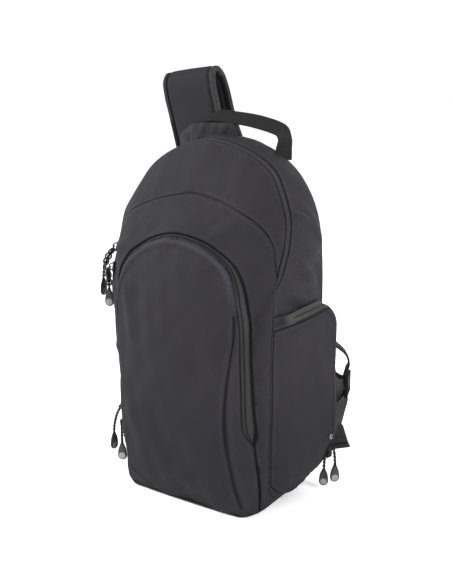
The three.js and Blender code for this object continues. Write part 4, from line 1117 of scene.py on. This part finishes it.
def band_out(rim):
    core = np.stack([rim[..., 0], 0 * rim[..., 0], np.clip(rim[..., 2], BAND_CORE_LOW, BAND_CORE_HIGH)], -1)
    return unit(rim - core)


def band(u, v, share, raised):
    """Point of the band from the face's rim back to the body, raised off its outer side."""
    rim = side_pocket(u, v)
    u, v = np.asarray(u, float), np.asarray(v, float)
    upright = np.sign(v - 0.5) * np.where((v == 0) | (v == 1), 1 - ease(u, 0.05, 0.4), 0)
    straight = UP * np.sign(upright)[..., None]
    out = unit(mix(band_out(rim), straight, np.abs(upright)[..., None]))
    low_spread = mix(BAND_BACK, BAND_TOP_BACK, ease(v, 0.85, 1))
    spread_out = np.where(v == 1, mix(BAND_FRONT, BAND_TOP_BACK, u), low_spread)
    seat = rim + out * spread_out[..., None]
    seat[..., 0] = side_x(seat[..., 1], seat[..., 2]) + mix(0.6, BAND_SEAT, ease(u, 0, 0.2))
    edge = rim - ASIDE * (1.8 * ease(u, 0, 0.3))[..., None]
    square = unit(ASIDE * spread_out[..., None] + out * (edge - seat)[..., :1])
    return mix(edge, seat, share) + square * np.asarray(raised)[..., None]


# Folds on the side pocket's face: start x y z, end x y z, width, height
SIDE_FOLDS = [
    (112, -44, 210, 126, 0, 216, 5, 1.6), (112, -44, 195, 124, -10, 201, 4, -1.4),
    (112, -40, 62, 124, 5, 48, 7, 1.8), (120, -20, 150, 132, 30, 100, 14, -1.8),
    (113, -40, 130, 122, -12, 112, 5, 1.3), (124, 10, 190, 134, 36, 150, 9, 1.4),
]


def add_side_pocket():
    u, v = close_to_ends(56, 1.6), close_to_ends(84, 1.8)
    grid = side_pocket(u[:, None], v[None])
    out = np.broadcast_to(ASIDE, grid.shape)
    away = grid_normals(grid, out)
    rim = edge_distance(grid, ("last_row", "first_column", "last_column"))
    seam = edge_distance(grid, ("first_row",))
    welt = 0.9 * hump(rim, 4.5, 1.8) - 0.7 * hump(rim, 7.5, 1.0)
    swell = ripples(grid, SIDE_RIPPLES) + folds(grid, SIDE_FOLDS)
    swell = swell * ease(np.minimum(rim, seam), 0, 10) + welt
    drop = turned_in(rim, POCKET_TURN) + turned_in(seam, SIDE_TURN)
    outer = grid + away * (swell - drop)[..., None]
    inner = outer - out * WALL
    wide = GUARD_WIDE * np.sin(math.pi * np.clip(mix(0.12, 0.92, v / GUARD_TOP), 0, 1)) ** 0.6
    guard = (u[:, None] > 1 - wide[None]) & (v[None] < GUARD_TOP)
    near = np.where(guard, 0.4, np.minimum(np.minimum(rim, seam), SEAM_REACH))
    dress(sheet_piece("side_pocket_cloth", outer, inner, near), NYLON, "nylon", "side_pocket_face")


def band_rim(top, back, bottom):
    """Places u v along the band's rim, from its top front round the back to its bottom front."""
    places = [(mix(BAND_START, 1, s), 1.0) for s in np.linspace(0, 1, top)]
    places += [(1.0, 1 - s) for s in close_to_ends(back, 1.4)[1:]]
    places += [(mix(1, BAND_LOW_START, s), 0.0) for s in np.linspace(0, 1, bottom)[1:]]
    return np.array(places)


def add_band_length(name, places, gather, sewn, material, *nodes):
    """Length of the side pocket's band, gathered or not, with or without painted shade along its sewn edges.
    """
    shares = np.linspace(0, 1, 15)
    u, v = places[:, 0], places[:, 1]
    rib = gather * np.sin(2 * math.pi * u / GATHER_PITCH)
    outer = np.stack([band(u, v, s, rib * math.sin(math.pi * s)) for s in shares], 1)
    inner = np.stack([band(u, v, s, -WALL) for s in shares], 1)
    sewn_lines = edge_distance(outer, LONG_EDGES)
    near = np.minimum(sewn_lines if sewn else SEAM_REACH + 0 * sewn_lines, SEAM_REACH)
    if nodes:
        # Painted shade over the band's top length at its front, fading towards the back
        top_front_shade = np.where(v == 1, mix(0.85, SEAM_REACH, ease(u, 0.2, 0.9)), SEAM_REACH)
        near = np.minimum(near, top_front_shade[:, None])
    dress(sheet_piece(name, outer, inner, near), material, "nylon", *nodes)


def add_side_band():
    places = band_rim(*BAND_COUNTS)
    turn = BAND_COUNTS[0] + BAND_COUNTS[1] - 1
    # The front and low lengths take the darker nylon as painted shade; the top and back take the paler band
    # cloth, partly its own tone and partly painted light
    add_band_length("side_band_front", places[:BAND_FRONT_COUNT + 1], 1.0, True, NYLON)
    middle = places[BAND_FRONT_COUNT:turn]
    add_band_length("side_band_cloth", middle, 0, True, BAND_CLOTH, "side_pocket_gusset")
    add_band_length("side_band_low", places[turn - 1:], 0, False, NYLON)


def add_side_zip():
    places = band_rim(*SIDE_ZIP_COUNTS)[SIDE_ZIP_START:SIDE_ZIP_END]
    u, v = places[:, 0], places[:, 1]
    raised = mix(-TAPE, TAPE, ease(np.arange(len(places)), 0, SIDE_ZIP_SINK))
    low, high = (band(u, v, ZIP_SHARE + side * ZIP_SHARE_HALF, raised) for side in (-1, 1))
    middle = (low + high) / 2
    out = unit(np.cross(np.gradient(middle, axis=0), high - low))
    out = out * np.where(dot(out, band_out(side_pocket(u, v))) < 0, -1, 1)
    zip_strip("side_zip", middle, low, high, out, GAP, (0, COIL_SIDE, 0.85), SIDE_TAPE, "side_zip_tape")


def add_zip_guard():
    """Flap behind the pocket's lower back corner, where the side zip ends, and the zip's metal stop."""
    down = np.linspace(0, 1, 16)
    inner, outer = (Curve(rows).at(down) for rows in (FLAP_INNER, FLAP_OUTER))
    flap = mix(inner[:, None], outer[:, None], np.linspace(0, 1, 12)[None, :, None])
    half = ASIDE * FLAP_HALF
    dress(sheet_piece("side_zip_flap", flap + half, flap - half), GUARD_CLOTH, "nylon")
    eye = side_pocket(STOP_U, STOP_V) + ASIDE * STOP_OUT
    angle = np.linspace(0, 2 * math.pi, 33)
    hoop = eye + STOP_RADIUS * np.stack([0 * angle, np.cos(angle), np.sin(angle)], -1)
    dress(tube("side_zip_stop", hoop, STOP_WIRE, 10), BRIGHT_METAL, "metal")


# Webbing and strap

def webbing_piece(name, middle, wide_way, width, thick, material, *nodes):
    """Flat webbing with rounded selvedges along a line of points."""
    along = unit(np.gradient(middle, axis=0))
    face = unit(np.cross(along, wide_way))
    wide = unit(np.cross(face, along))
    angle = ring_angles(36)
    a = signed_power(np.cos(angle), 0.25) * width / 2
    b = signed_power(np.sin(angle), 0.6) * thick / 2
    b = b * (1 + 0.25 * hump(np.abs(a), width / 2 - 1.2, 1.0))
    rib = 1 + WEBBING_RIB_HIGH * np.sin(2 * math.pi * run_along(middle) / WEBBING_RIB_PITCH)
    high = b[None] * rib[:, None]
    rings = middle[:, None] + wide[:, None] * a[None, :, None] + face[:, None] * high[..., None]
    dress(ring_piece(name, rings), material, "webbing", *nodes)


def add_handle():
    line = Curve([(x, HANDLE_Y, z) for x, z, _, _ in HANDLE])
    t = np.linspace(0, 1, 300)
    row = np.interp(t, line.share, np.arange(len(line.points)) / Curve.SAMPLES)
    _, _, lifts, turns = zip(*HANDLE)
    lift, turn = (smooth_column(range(len(HANDLE)), column)(row) for column in (lifts, turns))
    way = np.stack([turn, 0 * lift + 1, lift], -1)
    webbing_piece("handle_webbing", line.at(t), way, WEBBING_WIDTH, WEBBING_THICK, WEBBING, "grab_handle")


def add_adjuster():
    turn = math.radians(LOCK_TURN)
    points = [(LOCK_X + out * math.cos(turn), LOCK_Y + out * math.sin(turn), z) for out, z, _ in ADJUSTER]
    line = Curve(points).at(np.linspace(0, 1, 260))
    _, heights, turns = zip(*ADJUSTER)
    own = np.radians(smooth_column(heights, turns)(line[:, 2]))
    way = np.stack([-np.sin(own), np.cos(own), 0 * own], -1)
    low = int(np.argmax(line[:, 2] > ADJUSTER_SPLIT))
    size = (WEBBING_WIDTH, ADJUSTER_THICK)
    webbing_piece("adjuster_strap", line[:low + 1], way[:low + 1], *size, ADJUSTER_WEB, "adjuster_webbing")
    webbing_piece("adjuster_loop", line[low:], way[low:], *size, SHADED_LOOP_WEB)


def strap_frames(row):
    """Middle, width way, face way, width and thickness of the sling strap at rows of its table."""
    columns = np.array(STRAP, float).T
    width, thick, lean, yaw = (np.interp(row, np.arange(len(STRAP)), column) for column in columns[3:])
    middle = Curve(columns[:3].T).by_row(row)
    along = unit(np.gradient(middle, axis=0))
    lean, yaw = np.radians(lean), np.radians(yaw)
    way = np.stack([np.cos(lean) * np.cos(yaw), np.sin(yaw), np.sin(lean) * np.cos(yaw)], -1)
    face = unit(np.cross(along, way))
    return middle, unit(np.cross(face, along)), face, width, thick


def strap_half(thick, inset):
    """Half thickness of the strap at a distance from its edge: thin where it is bound, then a stitch line."""
    bound = 1 - 0.42 * (1 - ease(inset, 5, 8))
    return thick / 2 * bound * (1 - 0.22 * hump(inset, 6.6, 1.1))


def add_strap():
    row = np.linspace(0, len(STRAP) - 1, 360)
    middle, wide, face, width, thick = strap_frames(row)
    width, thick = width[:, None], thick[:, None]
    angle = ring_angles(64)
    a, b = signed_power(np.cos(angle), 0.34), signed_power(np.sin(angle), 0.7)
    aside = a[None] * width / 2
    inset = width / 2 - np.abs(aside)
    rings = middle[:, None] + wide[:, None] * aside[..., None]
    soft = 0.5 * ripple(rings, 60, 71) * ease(inset, 8, 16)
    high = b[None] * strap_half(thick, inset) + np.sign(b)[None] * soft
    rings = rings + face[:, None] * high[..., None]
    # Painted shadow at the strap's root and painted shade over its front, darkest on its upper part
    level = mix(*ROOT_SHADOW_Z, ease(rings[..., 0], *ROOT_SHADOW_X))
    root = np.where(row[:, None] < ROOT_ROWS, (rings[..., 2] - level) * ROOT_SOFTNESS, SEAM_REACH)
    shade = mix(*STRAP_SHADE, ease(rings[..., 2], *STRAP_SHADE_Z))
    near = np.clip(np.minimum(root, shade), 0, SEAM_REACH)
    piece = ring_piece("sling_strap", rings, near)
    dress(piece, NYLON, "nylon", "shoulder_strap")
    add_strap_end(row, rings, middle)
    add_root_cloth()
    bound = row < BINDING_END_ROW
    parts = [part[bound] for part in (row, middle, wide, face, width, thick)]
    add_binding("strap_binding_left", -1, NYLON, *parts)
    add_binding("strap_binding_right", 1, BINDING, *parts)


def add_root_cloth():
    """Gathered cloth over the strap's root, which also covers the handle's left foot."""
    rows = np.array(ROOT_CLOTH, float)
    share, down = np.linspace(0, 1, 90), np.linspace(0, 1, 16)
    top, foot = (Curve(rows[:, columns]).at(share) for columns in ([0, 1, 2], [0, 1, 3]))
    grid = mix(top[:, None], foot[:, None], down[None, :, None])
    out = grid_normals(grid, np.broadcast_to(np.array([0.5, -0.85, 0.2]), grid.shape))
    gathers = 2.0 * np.sin(math.pi * down)[None] + 1.2 * ripple(grid, 16, 81)
    swell = gathers * np.sin(math.pi * share)[:, None] ** 0.5
    depth = mix(6, 28, ease(share, 0.2, 0.45))[:, None, None]
    near = edge_distance(grid, ("first_column", "first_row", "last_row"))
    # Painted shade on the lower part of the cloth, under the handle
    shaded = mix(SEAM_REACH, 1.0, ease(down, 0.3, 0.75)[None] * ease(share, 0.25, 0.4)[:, None])
    outer, inner = grid + out * swell[..., None], grid + np.array(ROOT_SKEW) * depth
    dress(sheet_piece("strap_root_cloth", outer, inner, np.minimum(near, shaded)), NYLON, "nylon")


def add_strap_end(row, rings, middle):
    """Cover of stouter cloth sewn round the strap's lower end, where the lock hangs; its pale colour is
    painted light, with painted shade along its edges and over its back.
    """
    last = rings[row > STRAP_END_ROW]
    core = middle[row > STRAP_END_ROW][:, None]
    way = last - core
    reach = np.linalg.norm(way, axis=-1)
    grown = core + way * (1 + END_COVER_THICK / np.maximum(reach, 1))[..., None]
    near = np.minimum(np.minimum(lengths(grown, 0), 6), 0.9 + np.max(reach, axis=1, keepdims=True) - reach)
    # Painted shade over the back of the cover
    near = np.where(way[..., 1] > 0.3, 0.3, near)
    dress(ring_piece("strap_end_cover", grown, near), STRAP_END, "nylon")


def add_binding(name, side, material, row, middle, wide, face, width, thick):
    """Tape folded round one edge of the strap."""
    turn = np.linspace(-1, 1, 25)
    inset = BINDING_WIDTH * np.abs(turn) ** 1.5
    rings = []
    for lift, order in ((BINDING_OUTER, slice(None)), (BINDING_INNER, slice(None, None, -1))):
        aside = side * (width / 2 + lift * (1 - np.abs(turn)) - inset)[:, order]
        round_edge = np.minimum(1, np.abs(turn) / 0.22) ** 0.5 * np.sign(turn)
        high = (round_edge * (strap_half(thick, np.maximum(inset, 0.6)) + lift))[:, order]
        rings.append(middle[:, None] + wide[:, None] * aside[..., None] + face[:, None] * high[..., None])
    rings = np.concatenate(rings, 1)
    shadow = (rings[..., 2] - BINDING_SHADOW_Z) * BINDING_SOFTNESS
    root = np.where(row[:, None] < ROOT_ROWS, shadow, SEAM_REACH)
    # Painted shade over the binding on the strap's back layer
    back_layer_shade = mix(SEAM_REACH, 1.0, ease(row, *BINDING_SHADE_ROWS))[:, None]
    near = np.clip(np.minimum(root, back_layer_shade), 0, SEAM_REACH)
    dress(ring_piece(name, rings, near), material, "webbing")


def add_anchor():
    root = back_seam.at(1 - left_share(back_seam, np.array(ANCHOR_ROOT))) + (0, ANCHOR_BEHIND, 0)
    tip = np.array([(x, ANCHOR_TIP_Y, z) for x, z in ANCHOR_TIP], float)
    out, up = np.linspace(0, 1, 40)[:, None, None], np.linspace(0, 1, 44)[None, :, None]
    front = mix(mix(root[0], root[1], up), mix(tip[0], tip[1], up), out)
    rim = edge_distance(front, ("last_row", "first_column", "last_column"))
    low = edge_distance(front, ("first_column",))
    hem = 1.3 * hump(low, 2.6, 1.8)
    dip = 0.5 * hump(rim, ANCHOR_STITCH, 1.0) + 0.9 * turned_in(rim, 1.2) - hem
    back = front + (0, ANCHOR_THICK, 0)
    depth = np.stack([0 * dip, dip, 0 * dip], -1)
    # Painted shade in a line above the hem, with a painted highlight on the lip beside it
    near = np.minimum(np.abs(low - ANCHOR_STITCH), SEAM_REACH)
    dress(sheet_piece("anchor_cloth", front + depth, back - depth, near), BINDING, "nylon", "anchor_tab")


# Zip pulls

def seam_seat(curve, one, other, height):
    """Where a slider sits on a seam's zip: its foot, the way along the zip and the way out."""
    t = np.array([left_share(curve, height)])
    along, foot = curve.along(t)[0], curve.at(t)[0]
    out = -(one(t) + other(t))[0]
    if np.linalg.norm(out) < 0.2:
        out = np.cross(along, one(t)[0])
    if out @ inward(foot) > 0:
        out = -out
    return foot + inward(foot) * TAPE_DEPTH, along, unit(out - along * (out @ along))


def side_seat(height):
    v = np.linspace(0.02, 0.9, 200)
    line = band(np.ones(200), v, ZIP_SHARE, GAP + TAPE)
    i = int(np.argmin(np.abs(line[:, 2] - height)))
    along = unit(line[i + 2] - line[i - 2])
    side = unit(band(np.ones(1), v[i:i + 1], 1, 0.0)[0] - band(np.ones(1), v[i:i + 1], 0, 0.0)[0])
    out = unit(np.cross(along, side))
    if out @ band_out(side_pocket(np.ones(1), v[i:i + 1]))[0] < 0:
        out = -out
    return line[i], along, out


def slider_seat(zip_name, height):
    if zip_name == "side":
        return side_seat(height)
    if zip_name == "front":
        return seam_seat(front_zip, to_corner, lambda t: -to_corner(t), height)
    return seam_seat(corner_seam, to_front, to_back, height)


def tube(name, path, radius, sides=12):
    """Round tube along a line of points."""
    path = np.asarray(path, float)
    along = unit(np.gradient(path, axis=0))
    one = np.zeros_like(path)
    one[0] = unit(np.cross(along[0], (0.31, 0.87, 0.38)))
    for i in range(1, len(path)):
        one[i] = unit(one[i - 1] - along[i] * (one[i - 1] @ along[i]))
    two = np.cross(along, one)
    angle = ring_angles(sides)[None, :, None]
    around = one[:, None] * np.cos(angle) + two[:, None] * np.sin(angle)
    return ring_piece(name, path[:, None] + radius * around)


def placed(points, origin, x_way, y_way, z_way):
    return origin + points[..., 0:1] * x_way + points[..., 1:2] * y_way + points[..., 2:3] * z_way


def slider_rings():
    """Slider plate as rings from its underside to its top, tapered towards its tail."""
    angle = ring_angles(48)
    x = signed_power(np.cos(angle), 0.45)
    y = signed_power(np.sin(angle), 0.55) * mix(0.66, 0.95, 0.5 + 0.5 * x)
    rings = []
    for shrink, z in SLIDER_LEVELS:
        rings.append(np.stack([x * shrink * SLIDER_LENGTH / 2, y * shrink * SLIDER_WIDTH / 2, 0 * x + z], -1))
    return np.array(rings)


def join(name, pieces):
    """One mesh from several pieces."""
    points, faces, uv, start = [], [], [], 0
    for piece in pieces:
        mesh = piece.data
        points += [v.co / MM for v in mesh.vertices]
        faces += [[start + i for i in p.vertices] for p in mesh.polygons]
        flat = np.zeros((len(mesh.vertices), 2))
        for loop, texel in zip(mesh.loops, mesh.uv_layers[0].data):
            flat[loop.vertex_index] = texel.uv
        uv += (flat / MM).tolist()
        start += len(mesh.vertices)
        bpy.data.objects.remove(piece)
    return make_mesh(name, points, faces, uv)


def add_slider(name, foot, along, wide, out):
    plate = ring_piece(name + "_plate", placed(slider_rings(), foot, along, wide, out))
    share = np.linspace(0, 1, 26)
    arch_x = mix(-BRIDGE_HALF, BRIDGE_HALF, share)
    arch_z = SLIDER_THICK - 0.6 + (SLIDER_HEIGHT - 0.1) * np.sin(math.pi * share) ** 0.55
    line = placed(np.stack([arch_x, 0 * share, arch_z], -1), foot, along, wide, out)
    bridge = tube(name + "_bridge", line, BRIDGE_WIRE)
    dress(join(name + "_slider_body", [plate, bridge]), SLIDER_METAL, "metal", name + "_slider")


def tab_outline(grow):
    """Outline of the pull tab, an egg that hangs along -Z, inset or grown by a distance."""
    radius = TAB_WIDTH / 2 + grow
    neck = TAB_NECK / 2 + grow
    drop = TAB_LENGTH - TAB_WIDTH / 2
    bottom = [(radius * math.cos(a), -drop - radius * math.sin(a)) for a in np.linspace(0, math.pi, 21)]
    top = [(-neck * math.cos(a), grow - 1.2 + 1.2 * math.sin(a)) for a in np.linspace(0, math.pi, 9)]
    waist = mix(neck, radius, 0.5) + TAB_ROUND
    left, right = [(-waist, -drop / 2)], [(waist, -drop / 2)]
    corners = np.array(bottom + left + top + right + bottom[:1])
    outline = Curve(np.column_stack([corners, 0 * corners[:, 0]]))
    return outline.at(np.linspace(0, 1, 72, endpoint=False))[:, :2]


def tab_ring(inset, high):
    """Closed ring of the tab, inset by a distance, at a height over its middle plane."""
    outline = tab_outline(-inset)
    return np.column_stack([0 * outline[:, 0] + high, outline])


def add_tab(name, top, turn):
    angle = math.radians(turn)
    face = np.array([math.cos(angle), math.sin(angle), 0])
    wide = np.array([-math.sin(angle), math.cos(angle), 0])
    half = TAB_THICK / 2

    def tab_piece(label, rings):
        return ring_piece(label, placed(np.array(rings), np.array(top, float), face, wide, UP))

    rings = [tab_ring(inset, half + over) for inset, over in TAB_LEVELS]
    rings += [tab_ring(inset, -half - over) for inset, over in reversed(TAB_LEVELS)]
    body = tab_piece(name + "_tab_body", rings)
    dress(body, PULL_RUBBER, "pull", name + "_tab")
    inlays, faces = [], []
    circle = ring_angles(40)
    drop = TAB_LENGTH - TAB_WIDTH / 2
    for sign in (1, -1):
        rings = [
            np.stack([sign * (half + over) + 0 * circle, r * np.cos(circle), r * np.sin(circle) - drop], -1)
            for r, over in INLAY_LEVELS]
        inlays.append(tab_piece(f"inlay{sign}", rings))
        rings = [tab_ring(inset, sign * (half + over)) for inset, over in TAB_FACE_LEVELS]
        faces.append(tab_piece(f"face{sign}", rings))
    dress(join(name + "_tab_inlay", inlays), PULL_INLAY, "pull")
    dress(join(name + "_tab_face", faces), PULL_FACE, "pull")
    return body


def add_chain(name, line, ways, off):
    """Metal links along the upper part of a pull's cord, turned by a quarter from one to the next."""
    links = []
    angle = np.linspace(0, 2 * math.pi, 33)
    for k, at in enumerate(np.linspace(2, 0.6 * len(line), CHAIN_LINKS).astype(int)):
        side = off[at] if k % 2 else np.cross(ways[at], off[at])
        lengthwise = np.outer(np.cos(angle), ways[at]) * LINK_LONG
        crosswise = np.outer(np.sin(angle), side) * LINK_WIDE
        links.append(tube(f"link{k}", line[at] + lengthwise + crosswise, LINK_WIRE, 8))
    dress(join(name + "_pull_chain", links), SLIDER_METAL, "metal")


def add_pull(name, zip_name, height, top, turn):
    foot, along, out = slider_seat(zip_name, height)
    wide = np.cross(out, along)
    add_slider(name, foot, along, wide, out)

    eye = foot + out * (SLIDER_THICK + SLIDER_HEIGHT / 2)
    fall = np.array([0, 0, -1]) + out * RING_SWING
    fall = unit(fall - wide * (fall @ wide))
    middle = eye + fall * RING_RADIUS
    angle = np.linspace(0, 2 * math.pi, 49)
    hoop = middle + RING_RADIUS * (np.cos(angle)[:, None] * wide + np.sin(angle)[:, None] * fall)
    dress(tube(name + "_pull_ring", hoop, RING_WIRE, 10), SLIDER_METAL, "metal", name + "_ring")

    body = add_tab(name, top, turn)
    hang = eye + fall * 2 * RING_RADIUS
    neck = np.array(top, float) - UP * NECK_DROP
    knee = np.array([neck[0], neck[1], mix(hang[2], neck[2], KNEE_SHARE)])
    s = np.linspace(0, 1, 64)[:, None]
    line = hang * (1 - s) ** 2 + knee * 2 * s * (1 - s) + neck * s ** 2
    turn_way = np.cross(wide, fall)
    ways = unit(np.gradient(line, axis=0))
    off = unit(turn_way - ways * (ways @ turn_way)[:, None])
    apart = mix(*CORD_APART, ease(s, 0.0, 0.25))
    run = s * step_lengths(line).sum()
    twist = 2 * math.pi * run / CORD_TWIST
    off = off * np.cos(twist) + np.cross(ways, off) * np.sin(twist)
    lift = -(RING_WIRE + CORD_DIAMETER / 2 + 0.15)
    a = np.linspace(0, math.pi, 13)[1:-1, None]
    loop = hang + turn_way * CORD_APART[0] * np.cos(a) + fall * (lift - 0.6) * np.sin(a)
    path = np.vstack([(line + off * apart)[::-1], loop, line - off * apart])
    if zip_name == "main":
        add_chain(name, line, ways, off)
    cord = tube(name + "_pull_cord", path, CORD_DIAMETER / 2, 8)
    dress(cord, CORD_CLOTH, "webbing", name + "_cord")


# Stage

def add_stage():
    mesh = bpy.data.meshes.new("floor")
    corners = [(-FLOOR_REACH, -FLOOR_REACH), (FLOOR_REACH, -FLOOR_REACH)]
    corners += [(FLOOR_REACH, FLOOR_REACH), (-FLOOR_REACH, FLOOR_REACH)]
    mesh.from_pydata([(x, y, 0) for x, y in corners], [], [(0, 1, 2, 3)])
    floor = put_in_scene(bpy.data.objects.new("floor", mesh))
    material, tree, shader = new_material("floor_paint", (0.97, 0.97, 0.97), 0.9)
    cloudy = noise(tree, texture_space(tree, "Object"), 1.5)
    paint = grey_ramp(tree, cloudy, [(0.3, 0.965), (0.7, 0.985)])
    tree.links.new(paint, shader.inputs["Base Color"])
    mesh.materials.append(material)


def add_light(name, place, target, size, watts):
    data = bpy.data.lights.new(name, "AREA")
    data.energy = watts
    data.size = size
    lamp = put_in_scene(bpy.data.objects.new(name, data))
    lamp.location = place
    lamp.rotation_euler = (Vector(target) - Vector(place)).to_track_quat("-Z", "Y").to_euler()


def add_camera():
    data = bpy.data.cameras.new("camera")
    data.sensor_width = SENSOR
    data.lens = CAMERA_FOCUS_PX * SENSOR / max(PHOTO_SIZE)
    data.clip_start = 0.01
    azimuth, elevation = math.radians(CAMERA_AZIMUTH), math.radians(CAMERA_ELEVATION)
    camera = put_in_scene(bpy.data.objects.new("camera", data))
    turn = Matrix.Rotation(azimuth, 4, "Z") @ Matrix.Rotation(math.pi / 2 - elevation, 4, "X")
    camera.matrix_world = Matrix.Translation(Vector(CAMERA_PLACE) * MM) @ turn
    bpy.context.scene.camera = camera


def add_lighting():
    world = bpy.data.worlds.new("world")
    world.use_nodes = True
    background = world.node_tree.nodes["Background"]
    background.inputs["Color"].default_value = (1, 1, 1, 1)
    background.inputs["Strength"].default_value = WORLD_LIGHT
    bpy.context.scene.world = world
    bpy.context.scene.view_settings.view_transform = "Standard"
    for light in LIGHTS:
        add_light(*light)


add_stage()
add_camera()
add_lighting()
for pull in PULLS:
    add_pull(*pull)
add_gusset()
add_front_shell()
add_crown()
add_front_pocket()
add_back()
add_base()
add_main_zip()
add_front_zip()
add_side_pocket()
add_side_band()
add_side_zip()
add_zip_guard()
add_handle()
add_adjuster()
add_strap()
add_anchor()
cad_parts["strap_lock"].data.materials.clear()
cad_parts["strap_lock"].data.materials.append(LOCK_PLASTIC)
